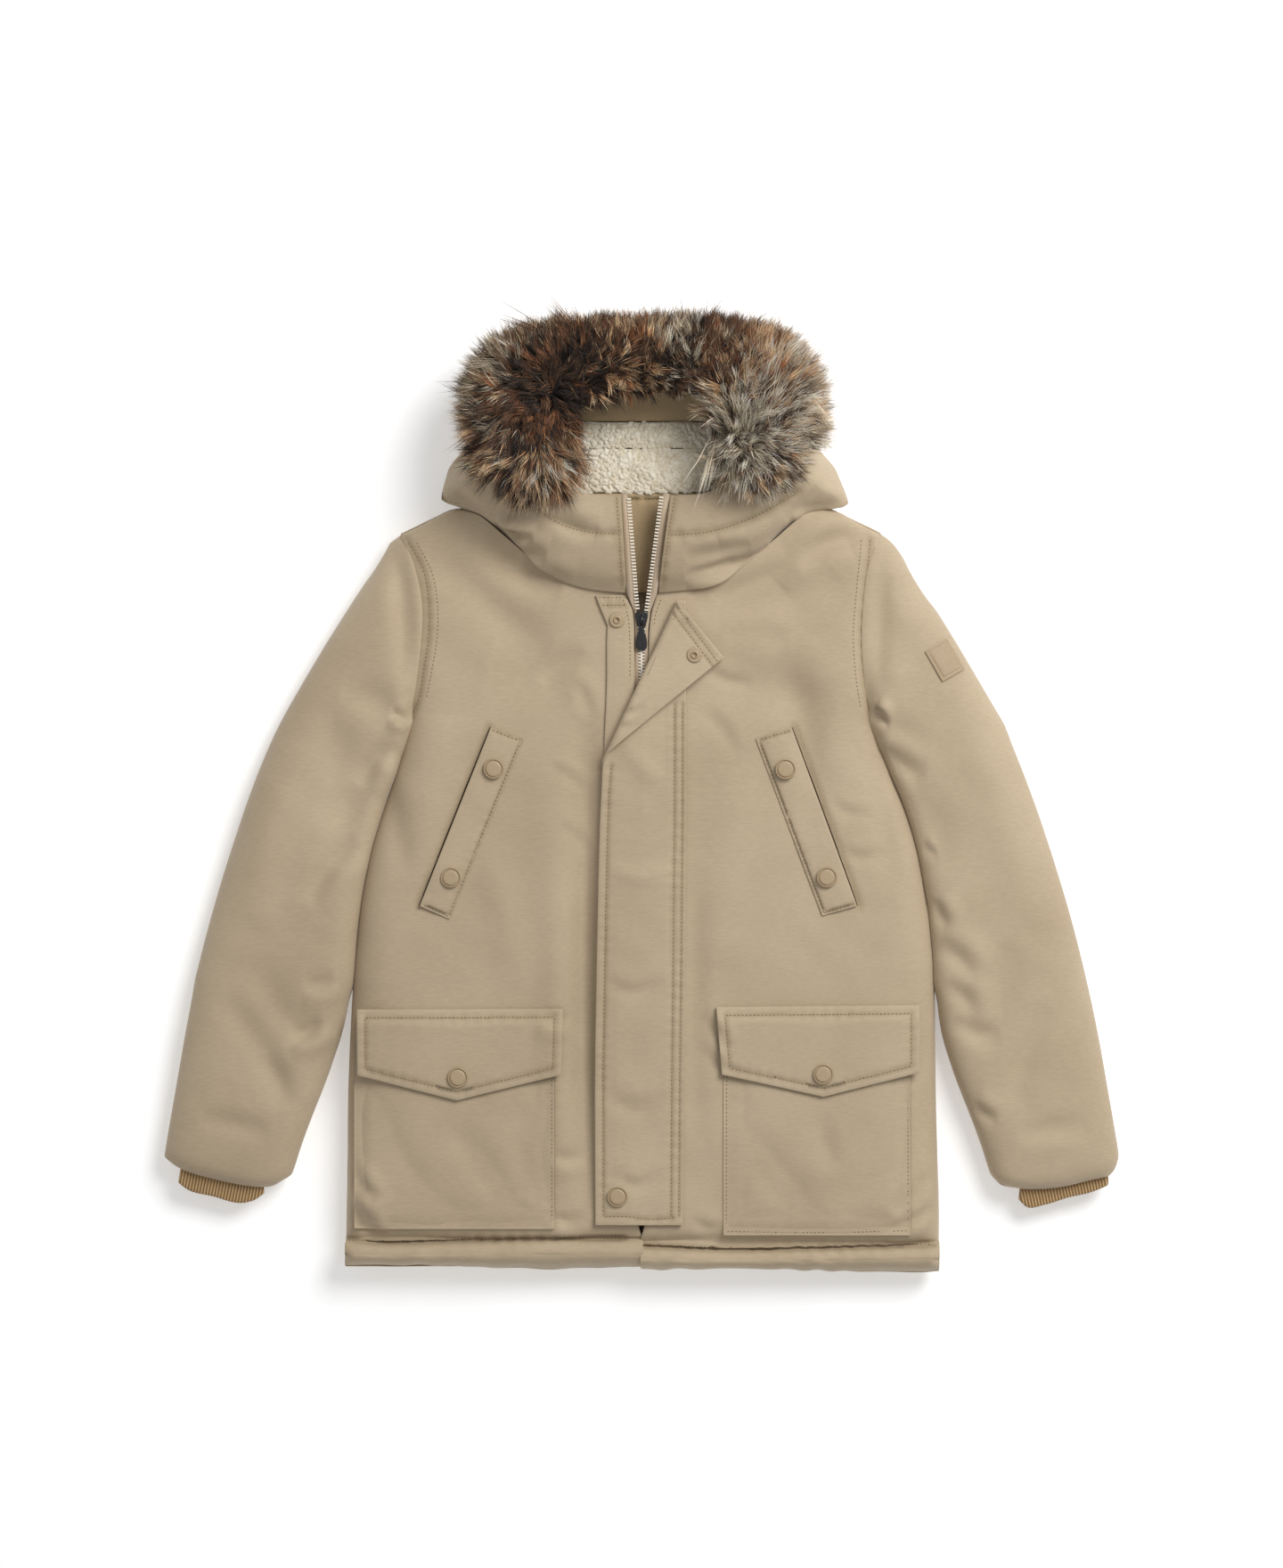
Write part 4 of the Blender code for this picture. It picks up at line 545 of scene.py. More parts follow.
# creases, by piece: width, height, lean, then plan points from end to end, all in mm
foldLook = {
    "creaseGain": 1.9, "puckerGain": 1.7,
    "besideAt": 1.7, "besideWide": 1.3,      # the form beside a crease, in widths of that crease
    # padding is never quite even: height, then the spans and bends of two crossed waves
    "swells": ((0.8, 31, 1.3, 47, 37, 1, 53), (0.3, 13, 2.1, 19, 15, 1.7, 23)),
}
creases = {
    "front_right": (
        (11, -4.6, 0.2, (-44, 60), (-43, -60), (-43, -180), (-43.5, -335)),
        (15, 1.8, 0, (-70, 10), (-66, -120), (-64, -250), (-62, -330)),
        (15, -4.6, 0.3, (-146, 212), (-122, 190), (-96, 172), (-62, 160)),
        (17, -3.6, 0.25, (-166, 196), (-140, 168), (-110, 138), (-72, 112)),
        (10, -2, 0.4, (-120, 196), (-104, 182), (-84, 172)),
        (4.5, -0.8, 0.6, (-54, 88), (-46, 76), (-40, 56)),
        (4.5, -0.7, 0.5, (-72, 18), (-58, 12), (-46, 0)),
        (4.5, -0.7, 0.5, (-66, -28), (-54, -34), (-45, -48)),
        (24, -2.4, 0, (-120, 100), (-88, 92), (-52, 84)),
        (9, -1.5, 0.4, (-44, 108), (-62, 100), (-78, 84)),
        (20, 1.6, 0, (-160, 60), (-165, 0), (-168, -80)),
        (6, -1.6, 0.6, (-58, -176), (-68, -179), (-80, -176)),
        (5, -1.4, 0.6, (-48, -285), (-58, -289), (-70, -286)),
        (5, -1.6, 0.6, (-46, -332), (-58, -339), (-69, -334)),
        (6, -2.2, 0.7, (-231, -322), (-222, -332), (-206, -341)),
        (5, -1.8, 0.7, (-230, -334), (-219, -343), (-200, -348)),
        (5, -1.6, 0.6, (-228, -296), (-220, -310), (-208, -322)),
        (22, -1.6, 0, (-216, -150), (-214, -220), (-216, -310)),
        (14, 1.2, 0, (-130, -30), (-110, -90), (-95, -160)),
        (10, -1.2, 0.3, (-200, 10), (-192, -30), (-186, -70)),
    ),
    "front_left": (
        (14, -1.9, 0.2, (104, 108), (122, 74), (130, 30), (132, -40)),
        (20, -2.2, 0.1, (50, 92), (84, 84), (118, 74), (150, 60)),
        (9, -0.9, 0.4, (66, 120), (88, 124), (116, 118)),
        (9, -3.2, 0.6, (122, 178), (150, 196), (180, 203)),
        (8, -1.8, 0.5, (56, 152), (88, 164), (124, 182)), (5, -0.9, 0.5, (46, 100), (64, 88), (88, 84)),
        (6, -0.7, 0.5, (46, 66), (62, 50), (76, 26)), (4.5, -0.8, 0.6, (148, -8), (162, -17), (182, -19)),
        (4.5, -0.8, 0.6, (156, -46), (172, -52), (192, -49)),
        (4.5, -0.8, 0.6, (46, -176), (57, -186), (68, -204)),
        (4.5, -0.8, 0.6, (46, -200), (58, -213), (72, -220)),
        (14, 2.2, 0, (110, 160), (136, 182), (164, 192)),
        (12, -1.6, 0, (36, 150), (70, 146), (118, 156), (150, 176)),
        (24, 1.6, 0, (70, 20), (66, -60), (62, -140)), (9, -1.4, 0.2, (42, -60), (41, -160), (42, -280)),
        (6, -1.4, 0.6, (226, -300), (214, -318), (198, -330)),
        (5, -1.6, 0.6, (228, -326), (212, -338), (190, -346)),
        (20, -1.5, 0, (214, -140), (212, -220), (214, -310)),
        (10, -1.3, 0.3, (184, 30), (190, -20), (198, -80)),
        (5, -1.1, 0.6, (40, -336), (52, -344), (64, -340)),
    ),
    "sleeve_right": (
        (9, -2.4, 0.4, (-196, 196), (-189, 160), (-186, 120), (-187, 84)),
        (6, 0.9, 0, (-184, 190), (-178, 150), (-178, 110), (-182, 76)),
        (4, -2.6, 0.6, (-181, 54), (-188, 58), (-198, 61)),
        (12, -1.8, 0.4, (-190, 60), (-212, 72), (-236, 78)),
        (9, -2.6, 0.5, (-190, 34), (-208, 26), (-222, 4)),
        (16, -2.6, 0.3, (-206, 20), (-226, -10), (-240, -60)),
        (8, -2, 0.5, (-222, -40), (-246, -60), (-262, -90)),
        (6, -2.4, 0.7, (-252, -180), (-262, -190), (-276, -192)),
        (6, -1.6, 0.6, (-242, -146), (-252, -152), (-266, -152)),
        (14, -2, 0.3, (-300, -130), (-288, -170), (-262, -196)),
        (12, -1.8, 0.4, (-330, -160), (-300, -200), (-282, -240)),
        (9, -1.4, 0.4, (-300, -210), (-286, -226), (-280, -250)),
        (18, 1.6, 0, (-270, 40), (-292, -30), (-306, -110)),
        (16, -1.6, 0.2, (-250, 70), (-236, 20), (-240, -30)),
        (8, -1.3, 0.5, (-348, -258), (-320, -262), (-292, -270)),
    ),
    "sleeve_left": (
        (10, -1.8, 0.3, (190, 190), (187, 150), (186, 110), (187, 70)),
        (6, 0.7, 0, (183, 192), (179, 150), (178, 110), (182, 76)),
        (4, -2.2, 0.5, (181, 58), (187, 56), (195, 52)), (10, -1.3, 0.4, (188, 56), (206, 46), (226, 30)),
        (9, -2.6, 0.5, (190, 34), (206, 20), (222, 10)),
        (16, -1.8, 0.3, (206, 10), (226, -20), (238, -66)),
        (16, -2.2, 0.2, (204, 170), (202, 130), (206, 92)),
        (8, -2, 0.5, (232, -120), (250, -132), (262, -150)),
        (8, -2, 0.5, (238, -150), (256, -166), (262, -186)),
        (7, -1.8, 0.6, (244, -180), (262, -190), (282, -192)),
        (14, -1.8, 0.3, (290, -120), (282, -160), (266, -206)),
        (10, -1.6, 0.4, (320, -170), (302, -210), (290, -246)),
        (18, 1.6, 0, (262, 40), (288, -30), (304, -110)),
        (8, -1.3, 0.5, (350, -262), (322, -266), (296, -272)),
        (3.5, -1.8, 0.8, (183, 63), (187, 61), (192, 58)),
        (4, -1.3, 0.6, (220, -45), (226, -47.5), (232, -48)),
        (6, -1.9, 0.5, (229, -85), (234, -97), (241, -108)),
        (5, -1.5, 0.6, (260, -247), (270, -254), (280, -259)),
    ),
    "hood_right": (
        (4, -3.6, 0.9, (-118, 209), (-104, 203), (-84, 198)),
        (6, -3, 0.7, (-112, 203), (-96, 190), (-74, 184)),
        (8, -2.4, 0.5, (-70, 218), (-56, 208), (-34, 202)),
        (7, -2, 0.5, (-150, 240), (-140, 228), (-122, 214)),
        (9, 1.6, 0, (-96, 200), (-76, 182), (-50, 172)),
        (6, -1.6, 0.6, (-146, 262), (-136, 246), (-118, 232)),
        (7, -2, 0.6, (-150, 290), (-140, 306), (-122, 320)),
        (3.2, -2.4, 0.9, (-116, 209), (-108, 206), (-98, 204)),
        (3.2, -2.4, 0.9, (-103, 193), (-97, 189), (-91, 186)),
        (6, 1.6, 0.4, (-112, 204), (-96, 188), (-70, 172)),
    ),
    "hood_left": (
        (4, -4, 0.9, (132, 213), (118, 207), (100, 194)),
        (5, -3.2, 0.8, (106, 196), (90, 184), (64, 174), (34, 168)),
        (8, -2, 0.5, (150, 246), (132, 226), (112, 212)), (9, 1.8, 0, (118, 222), (90, 204), (60, 196)),
        (7, -1.8, 0.5, (34, 182), (60, 186), (84, 194)),
        (6, -1.8, 0.6, (158, 232), (146, 222), (126, 216)),
        (7, -2, 0.6, (150, 290), (140, 306), (122, 320)),
        (3.2, -2.4, 0.9, (117, 209), (125, 208), (134, 206)),
        (3.6, -2.2, 0.9, (96, 184), (106, 179), (115, 174)),
        (6, 1.6, 0.4, (128, 216), (104, 196), (72, 178)),
    ),
    "storm_flap": (
        (6, -0.9, 0.5, (-30, -150), (-8, -158), (18, -150)),
        (7, -0.9, 0.5, (-28, -240), (-4, -250), (20, -238)),
        (7, 0.8, 0.3, (-26, -60), (0, -68), (24, -60)),
        (6, -0.9, 0.5, (-26, -300), (-2, -310), (18, -298)), (8, 0.9, 0, (-14, 40), (-2, 22), (16, 8)),
        (3.5, -0.8, 0.6, (-16, 62), (-7, 61), (2, 68)), (3.5, -0.7, 0.6, (-20, 50), (-11, 50), (-3, 55)),
    ),
    "pocket_right": (
        (16, -1.6, 0.3, (-214, -236), (-190, -300), (-150, -336)),
        (12, -1.2, 0.3, (-150, -262), (-120, -300), (-96, -336)),
        (10, -1, 0.4, (-86, -248), (-94, -280), (-88, -320)),
    ),
    "pocket_left": (
        (14, -1.4, 0.3, (80, -262), (104, -300), (140, -336)),
        (14, -1.4, 0.3, (200, -240), (186, -290), (150, -330)),
        (8, -1, 0.4, (140, -252), (144, -276), (152, -300)),
    ),
}
puckers = {   # which sewn lines ripple on which piece: reach, height, pitch in mm
    "front_right": (("hemRight", 7, 0.4, 13), ("armholeRight", 6, 0.2, 11), ("pocketSeamRight", 6, 0.4, 13)),
    "front_left": (("hemLeft", 7, 0.4, 14), ("armholeLeft", 6, 0.2, 12), ("pocketSideLeft", 6, 0.4, 14)),
    "hood_right": (("collarRight", 6, 0.4, 12), ("zipCollarRight", 4, 0.2, 11)),
    "hood_left": (("collarLeft", 6, 0.4, 13), ("zipCollarLeft", 4, 0.2, 11)),
}
grooves = {   # sewn lines that pull in: width, depth in mm
    "front_right": (("hemRight", 2, 2), ("armholeRight", 2.6, 0.6), ("mouthRight", 2.2, 1.4)),
    "front_left": (("hemLeft", 2, 2), ("armholeLeft", 2.6, 0.6), ("mouthLeft", 2.2, 1.4)),
    "hood_right": (("collarRight", 3.4, 1.6), ("zipCollarRight", 2.4, 0.4)),
    "hood_left": (("collarLeft", 3.4, 1.6), ("zipCollarLeft", 2.4, 0.4)),
}


liesOn = {"pocket_right": "front_right", "pocket_left": "front_left", "pocket_flap_right": "front_right",
          "pocket_flap_left": "front_left", "welt_right": "front_right", "welt_left": "front_left"}


def creaseHeight(plan, width, height, lean, *points):
    # a soft trough or ridge that fades at both ends; lean adds the opposite form on its left side
    path = smoothPath(points, 4.0)
    signed, along, length = nearPath(plan, path)
    fade = np.sin(np.pi * np.clip(along / length, 0, 1))**0.7
    beside = bell(signed - foldLook["besideAt"] * width, foldLook["besideWide"] * width)
    form = bell(signed, width) - lean * beside
    return height * fade * form


def puckerHeight(plan, path, reach, height, pitch, seed):
    # uneven little ripples across a sewn line
    signed, along, _ = nearPath(plan, path)
    wave = np.sin(2 * np.pi * along / pitch + 1.7 * np.sin(along / (2.3 * pitch) + seed))
    strength = 0.55 + 0.45 * np.sin(along / (1.9 * pitch) + 2.1 * seed)
    return height * wave * strength * bell(signed, reach)


def clothHeight(pieceName):
    # how far each plan point of a piece stands out, from its creases, ripples, seams and padding
    def height(plan):
        total = np.zeros(len(plan))
        for row in creases.get(pieceName, ()) + creases.get(liesOn.get(pieceName), ()):
            total += foldLook["creaseGain"] * creaseHeight(plan, *row)
        for number, (line, reach, high, pitch) in enumerate(puckers.get(pieceName, ())):
            ripple = puckerHeight(plan, sewnPaths[line], reach, high, pitch, number + 1.3)
            total += foldLook["puckerGain"] * ripple
        for line, width, depth in grooves.get(pieceName, ()):
            total -= depth * bell(nearPath(plan, sewnPaths[line])[0], width)
        x, y = plan[:, 0], plan[:, 1]
        for high, a, bend, b, c, turn, d in foldLook["swells"]:
            total += high * np.sin(x / a + bend * np.sin(y / b)) * np.sin(y / c + turn * np.sin(x / d))
        return total
    return height


# how a row of stitches pulls the cloth in, and the ripples beside it, in mm
stitchPress = {"depth": 0.9, "width": 1.5, "reach": 5.0, "ripple": 0.35, "pitch": 9.0}


def pressHeight(rows):
    def height(plan):
        total = np.zeros(len(plan))
        for number, path in enumerate(rows):
            total -= stitchPress["depth"] * bell(nearPath(plan, path)[0], stitchPress["width"])
            total += puckerHeight(plan, path, stitchPress["reach"], stitchPress["ripple"],
                                  stitchPress["pitch"], number + 0.4)
        return total
    return height


def inward(corners, inset):
    # a polygon's corners moved in, so that each side lies inset mm further in
    corners = np.asarray(corners, float)
    count = len(corners)
    area = sum(corners[i][0] * corners[(i + 1) % count][1] - corners[(i + 1) % count][0] * corners[i][1]
               for i in range(count))
    turn = 1 if area > 0 else -1
    moved = []
    for i in range(count):
        before = corners[i] - corners[i - 1]
        after = corners[(i + 1) % count] - corners[i]
        before, after = before / np.hypot(*before), after / np.hypot(*after)
        sideA = turn * np.array([-before[1], before[0]])
        sideB = turn * np.array([-after[1], after[0]])
        middle = (sideA + sideB) / (1 + sideA @ sideB)
        moved.append(corners[i] + middle * inset)
    return moved


weltCorners = {
    "welt_right": ((-118.3, 50.4), (-92.4, 40.6), (-150.5, -100.8), (-174.3, -90.3)),
    "welt_left": ((118, 50.1), (89.6, 41.3), (142.1, -98), (169.4, -90.3)),
}
flapCorners = {
    "pocket_flap_right": ((-223.7, -171.5), (-61.6, -170.8), (-63, -222.6), (-144.9, -242.9),
                          (-223.3, -223.3)),
    "pocket_flap_left": ((58.5, -169.4), (218.4, -168), (218.4, -221.2), (142.8, -240.1), (63, -222.6)),
}
stormEdges = {   # the storm flap's two long edges, x at each y
    "y": (-341, -218, -120, -53, -4, 21, 150),
    "free": (-36.4, -36.8, -35, -33.6, -32.2, -30.1, -31.5),
    "sewn": (32.2, 33, 34, 34.6, 35, 35, 35),
}
stitchRows = {   # mm in from the edge, or the row's own plan points
    "flap": 6.6, "welt": 1.9,
    "stormFree": 6.4, "stormSewn": (-3.0, -9.2), "stormFoot": -334, "stormFreeTop": 20, "stormSewnTop": 68,
    "storm_flap": (((26.4, 146), (60.5, 100.5)), ((22.9, 142), (56.8, 97.2)),     # on the turned corner
                   ((-29, -334), (-12, -334), (4, -336), (26, -335))),           # and along the foot
    "fly_underlap": (((-33.5, 152), (-13, 152)), ((-31, 146), (-12, 146))),
    "neck_facing": (((-11, 229.5), (-2, 229), (16, 229.5)),),
}


def straightRuns(corners):
    # each side between two corners as its own run of stitches
    return [smoothPath(ends) for ends in zip(corners, corners[1:])]


def stormLine(column, inset, high):
    levels = np.linspace(stitchRows["stormFoot"], high, 30)
    return np.stack([np.interp(levels, stormEdges["y"], stormEdges[column]) + inset, levels], axis=-1)


def rowsOn(nodeName):
    # the stitch rows on one flat piece
    if nodeName in weltCorners:
        return straightRuns(inward(weltCorners[nodeName], stitchRows["welt"]))   # not along the pocket mouth
    if nodeName in flapCorners:
        inner = inward(flapCorners[nodeName], stitchRows["flap"])
        return straightRuns(inner[1:] + inner[:2])
    rows = [smoothPath(points) for points in stitchRows.get(nodeName, ())]
    if nodeName == "storm_flap":
        sewn = [stormLine("sewn", inset, stitchRows["stormSewnTop"]) for inset in stitchRows["stormSewn"]]
        rows = [stormLine("free", stitchRows["stormFree"], stitchRows["stormFreeTop"])] + sewn + rows
    return rows


def seamsOf(pieceName):
    lines = [row[0] for row in grooves.get(pieceName, ())] + [row[0] for row in puckers.get(pieceName, ())]
    return [sewnPaths[name] for name in dict.fromkeys(lines)]


# padded panels meet at their seams
neckLine = ((-12.3, 155.4), (-37, 157.5), (-55, 161.7), (-70.7, 169.4), (-88.2, 182.7), (-107, 201),
            (-126, 216.3), (-145.6, 224), (-158.2, 229))
sideLines = {
    "right": ((-182.7, 52), (-190.5, 24), (-207.8, -25), (-219.2, -72), (-225, -120), (-229.6, -190)),
    "left": ((181.5, 52), (192, 24), (212, -25), (223, -72), (229.5, -120), (231.5, -190)),
}
joins = {   # how far edges move in mm, where that starts and over what distance it fades
    "hoodDrop": 4.0, "hoodReach": 9.0,         # the hood's foot sinks onto the neck seam
    "neckTuck": 2.4, "neckReach": 6.0,         # and the fronts' neck edge goes on under it
    "shoulderRise": 4.5, "shoulderX": 142, "shoulderWide": 24, "shoulderFrom": 188,   # beside the hood
    "cornerAt": (158, 226), "cornerReach": 24, "cornerMove": (5.0, -3.0),             # the hood's left corner
    "backHem": 2.5, "backHemFrom": -350,       # the back's hem stays under the fronts
    "hoodTuck": 9.0, "hoodTuckFrom": (100, 252),    # the hood's sides stay under the fur
    "sleeveLean": 4.4, "sleeveReach": 24.0, "sleeveTop": 66, "sleeveParts": -168.0,   # against the body
    "armholeLean": 1.6, "armholeReach": 12.0,
    "centreLean": 2.5, "centreReach": 7, "centreFrom": -331.0,    # the fronts close up below the storm flap
    "facingFrom": 309.0, "facingTuck": (7.0, 5.5),    # the hood facing's upper edge goes in under the crown
}
# the hem is one soft roll below its seam: heights in mm, and the y of each front's lower edge
hemRoll = {"seamZ": 28.6, "topZ": 36.4, "footZ": 21.0, "power": 2.4, "scallop": 0.75, "swell": 0.06,
           "endsFrom": 225, "endsReach": 9, "endsDrop": 0.5, "front_right": -375.4, "front_left": -378.4}


def rollHem(spots, plan, normals, nodeName, seam):
    x = plan[:, 0]
    seamY = np.interp(x, seam[:, 0], seam[:, 1])
    share = (seamY - plan[:, 1]) / (seamY - hemRoll[nodeName])   # 0 at the seam, 1 at the lower edge
    across = np.clip(2 * share - 1, -1, 1)
    low = np.where(across < 0, hemRoll["seamZ"], hemRoll["footZ"])
    uneven = np.sin(x / 5.1 + 2.2 * np.sin(x / 23)) * (0.6 + 0.4 * np.sin(x / 17)) + 0.8 * np.sin(x / 37)
    ends = np.clip((np.abs(x) - hemRoll["endsFrom"]) / hemRoll["endsReach"], 0, 1)**2
    full = (hemRoll["topZ"] - low) * (1 - np.abs(across)**hemRoll["power"]) * (1 + hemRoll["swell"] * uneven)
    # from just above the seam, and not on the side that faces down
    onRoll = (share > -0.02) * smoothStep((normals[:, 2] + 0.4) / 0.6)
    spots[:, 2] += onRoll * (low + full * (1 - hemRoll["endsDrop"] * ends) - spots[:, 2])
    spots[:, 1] += hemRoll["scallop"] * uneven * smoothStep((share - 0.5) / 0.5)


def meetNeighbours(piece, nodeName):
    spots, normals = readSpots(piece.data)
    plan = planOf(spots)
    side, sign = ("right", -1) if "right" in nodeName else ("left", 1)
    isHood, isFront = nodeName in ("hood_right", "hood_left"), nodeName in ("front_right", "front_left")
    if isHood or isFront:
        near = np.abs(nearPath(plan, smoothPath(np.array(neckLine) * (-sign, 1)))[0])
    if isHood:
        spots[:, 2] -= joins["hoodDrop"] * bell(near, joins["hoodReach"]) * (normals[:, 2] > -0.2)
    if isFront:
        spots[:, 1] += joins["neckTuck"] * bell(near, joins["neckReach"])
    if not nodeName.startswith("hood"):
        beside = bell(np.abs(plan[:, 0]) - joins["shoulderX"], joins["shoulderWide"])
        spots[:, 1] += joins["shoulderRise"] * beside * smoothStep((plan[:, 1] - joins["shoulderFrom"]) / 20)
    if nodeName == "hood_left":
        offset = plan - joins["cornerAt"]
        corner = np.exp(-(offset[:, 0]**2 + offset[:, 1]**2) / joins["cornerReach"]**2)
        spots[:, :2] += corner[:, None] * joins["cornerMove"]
    if nodeName == "back":
        spots[:, 1] += joins["backHem"] * smoothStep((joins["backHemFrom"] - plan[:, 1]) / 12)
    if isHood:
        fromX, fromY = joins["hoodTuckFrom"]
        outer = smoothStep((np.abs(plan[:, 0]) - fromX) / 25) * smoothStep((plan[:, 1] - fromY) / 22)
        spots[:, 0] -= sign * joins["hoodTuck"] * outer
    if nodeName.startswith("sleeve"):
        near = np.abs(nearPath(plan, smoothPath(sideLines[side]))[0])
        lean = np.clip(1 - near / joins["sleeveReach"], 0, 1)
        lean *= smoothStep((joins["sleeveTop"] - plan[:, 1]) / 12)
        lean *= 0.25 + 0.75 * smoothStep((plan[:, 1] - joins["sleeveParts"]) / 20)
        spots[:, 0] -= sign * joins["sleeveLean"] * lean
        rim = nearPath(plan, sewnPaths["armhole" + side.capitalize()])[0]
        spots[:, 0] -= sign * joins["armholeLean"] * bell(rim, joins["armholeReach"])
    if isFront:
        inner = bell(plan[:, 0], joins["centreReach"]) * smoothStep((joins["centreFrom"] - plan[:, 1]) / 8)
        spots[:, 0] -= sign * joins["centreLean"] * inner
        rollHem(spots, plan, normals, nodeName, sewnPaths["hem" + side.capitalize()])
    writeSpots(piece.data, spots)


# padded panels
panelFill = {"back": 0.5, "front_right": 0.6, "front_left": 0.6, "sleeve_right": 0.7, "sleeve_left": 0.7,
             "hood_right": 0.6, "hood_left": 0.6, "hood_crown": 0.6, "hood_back": 0.4}
panels = {}
for nodeName, fill in panelFill.items():
    hidden = nodeName in ("back", "hood_back")
    piece = shellOf(nodeName, nodeName + "Cloth", shellTwill, 2, not hidden)
    if nodeName in ("front_right", "front_left"):
        cutAlong(piece, sewnPaths["hem" + nodeName[6:].capitalize()], 1.4)
    meetNeighbours(piece, nodeName)
    lift(piece, clothHeight(nodeName), seamsOf(nodeName))
    panels[nodeName] = piece
print("padded panels made")

# flat cloth pieces: flat width and length in m, held, what it rests on, area if not a rectangle
flatPieces = {
    "pocket_right": ((0.159, 0.162), "laid", "front_right", None),
    "pocket_left": ((0.149, 0.167), "laid", "front_left", None),
    "welt_right": ((0.028, 0.153), "laid", "front_right", None),
    "welt_left": ((0.029, 0.151), "laid", "front_left", None),
    "pocket_flap_right": ((0.162, 0.072), "laid", "pocket_right", 0.0101),
    "pocket_flap_left": ((0.160, 0.072), "laid", "pocket_left", 0.0100),
    "fly_underlap": ((0.024, 0.152), "laid", "front_right", None),
    "storm_flap": ((0.070, 0.491), "folded", "front_left", None),
    "neck_facing": ((0.116, 0.082), "laid", "back", None),
    "hood_facing": ((0.132, 0.036), "laid", "hood_back", None),
}
# padding thins out towards sewn edges: how much lower in mm, and over what distance
edgeDrop = {"pocket": (4.3, 15.0), "welt": (1.5, 12.0)}
# a pocket stands this high on the cloth under it at its edge, and further in
pocketForm = {"edgeHigh": 0.7, "fullHigh": 1.1, "fullFrom": 14.0, "slope": 0.2}


def fromSewnSides(spots, nodeName):
    # distance from a pocket's two sides and foot, in mm
    low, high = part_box(nodeName)
    fromSides = np.minimum(spots[:, 0] - low.x / mm, high.x / mm - spots[:, 0])
    return np.maximum(np.minimum(fromSides, spots[:, 1] - low.y / mm), 0)


def thinEdges(piece, nodeName):
    spots, normals = readSpots(piece.data)
    if nodeName in weltCorners:
        drop, reach = edgeDrop["welt"]
        sewn = np.array(weltCorners[nodeName][1:3], float)
        edge = np.abs(nearPath(planOf(spots), sewn)[0])
    else:
        drop, reach = edgeDrop["pocket"]
        edge = fromSewnSides(spots, nodeName)
    spots[:, 2] -= drop * bell(edge, reach) * (normals[:, 2] > -0.2)
    writeSpots(piece.data, spots)


def settleOn(piece, nodeName, ground):
    # a sewn pocket follows the padded cloth under it, thin at its edges and fuller in the middle
    tree = treeOf([ground])
    spots, normals = readSpots(piece.data)
    edge = fromSewnSides(spots, nodeName)
    full = pocketForm["fullHigh"] * smoothStep(edge / pocketForm["fullFrom"])
    for i in np.flatnonzero(normals[:, 2] > 0.3):
        z, _ = dropOn(tree, spots[i, 0], spots[i, 1] - planShift)
        if z is None:
            continue
        least = z + pocketForm["edgeHigh"] + full[i]
        most = max(least, z + pocketForm["edgeHigh"] + pocketForm["slope"] * edge[i])
        spots[i, 2] = min(max(spots[i, 2], least), most)
    writeSpots(piece.data, spots)


flats = {}
for nodeName, (cut, held, under, area) in flatPieces.items():
    isPocket, isFacing = nodeName in ("pocket_right", "pocket_left"), nodeName.endswith("facing")
    cloth, slotName = (facingCloth, "lining_cloth") if isFacing else (shellTwill, "shell_cloth")
    if isFacing or isPocket:
        piece = shellOf(nodeName, nodeName + "Cloth", cloth, 2, True, 0.5)
    else:
        piece = shellOf(nodeName, nodeName + "Cloth", cloth, 1, False, 0.7, crispMm=6.0)
    if isPocket or nodeName in weltCorners:
        thinEdges(piece, nodeName)
    spots, _ = readSpots(piece.data)
    if nodeName == "hood_facing":
        upper = smoothStep((spots[:, 1] - joins["facingFrom"]) / 9)
        spots[:, 1:] += upper[:, None] * joins["facingTuck"]
    rise = 0.4 if nodeName in flapCorners else 0.0   # a pocket flap lies on the pocket, not in it
    spots[:, 2] += clothHeight(nodeName)(planOf(spots)) + rise
    writeSpots(piece.data, spots)
    if isPocket:
        settleOn(piece, nodeName, panels[under])
    rows = rowsOn(nodeName)
    longRows = rows[:3] if nodeName == "storm_flap" else []
    alignTo(piece, longRows, 0.5)
    for row in longRows:
        cutAlong(piece, row, 1.1, across=0)
    alignTo(piece, rows[len(longRows):], 1.25)
    lift(piece, pressHeight(rows), rows, 1.6)
    flats[nodeName] = piece
print("flat pieces made")

# knitted cuffs
cuffCut = {"cuff_right": (0.150, 0.034), "cuff_left": (0.150, 0.034)}
for nodeName, cut in cuffCut.items():
    piece = shellOf(nodeName, nodeName + "Knit", ribKnit, 1, False, 0)
    spots, _ = readSpots(piece.data)
    noteOnPoints(piece.data, "ribPlace", spots[:, :2] @ np.array(ribbing[nodeName]))
print("cuffs made")

# curly pile inside the hood
pile = {
    "curlMm": 3.4, "curlHeight": 0.3, "lumpMm": 10.0, "lumpHeight": 0.9,
    "seed": 5, "from": (-64, 235.5), "to": (64, 289),
    "knotStep": 2.7, "knotSpread": 0.9, "knotRadius": (1.6, 2.6),
    # a knot's length, width and height, in its own radii
    "knotShape": ((1.0, 1.5), (0.7, 1.0), (0.45, 0.75)), "knotLumpMm": 8, "knotLump": 0.8,
    "seams": ((-33.6, 0.8), (269.1, 0.9)),   # joins that stay free of knots: x, y and half their width
    "pile_panel": (0.132, 0.036), "pile_band": (0.132, 0.024),
}


def curlField(spots):
    # worm like curls: the folds of a noise, bent by a second one
    values = np.empty(len(spots))
    for i, (x, y, z) in enumerate(spots):
        bend = noise.noise(Vector((x, y, z)) / pile["lumpMm"]) * 1.6
        value = noise.noise(Vector((x / pile["curlMm"] + bend, y / pile["curlMm"] - bend, z / 30)))
        values[i] = 1 - min(1.0, abs(value) * 2.2)
    return values


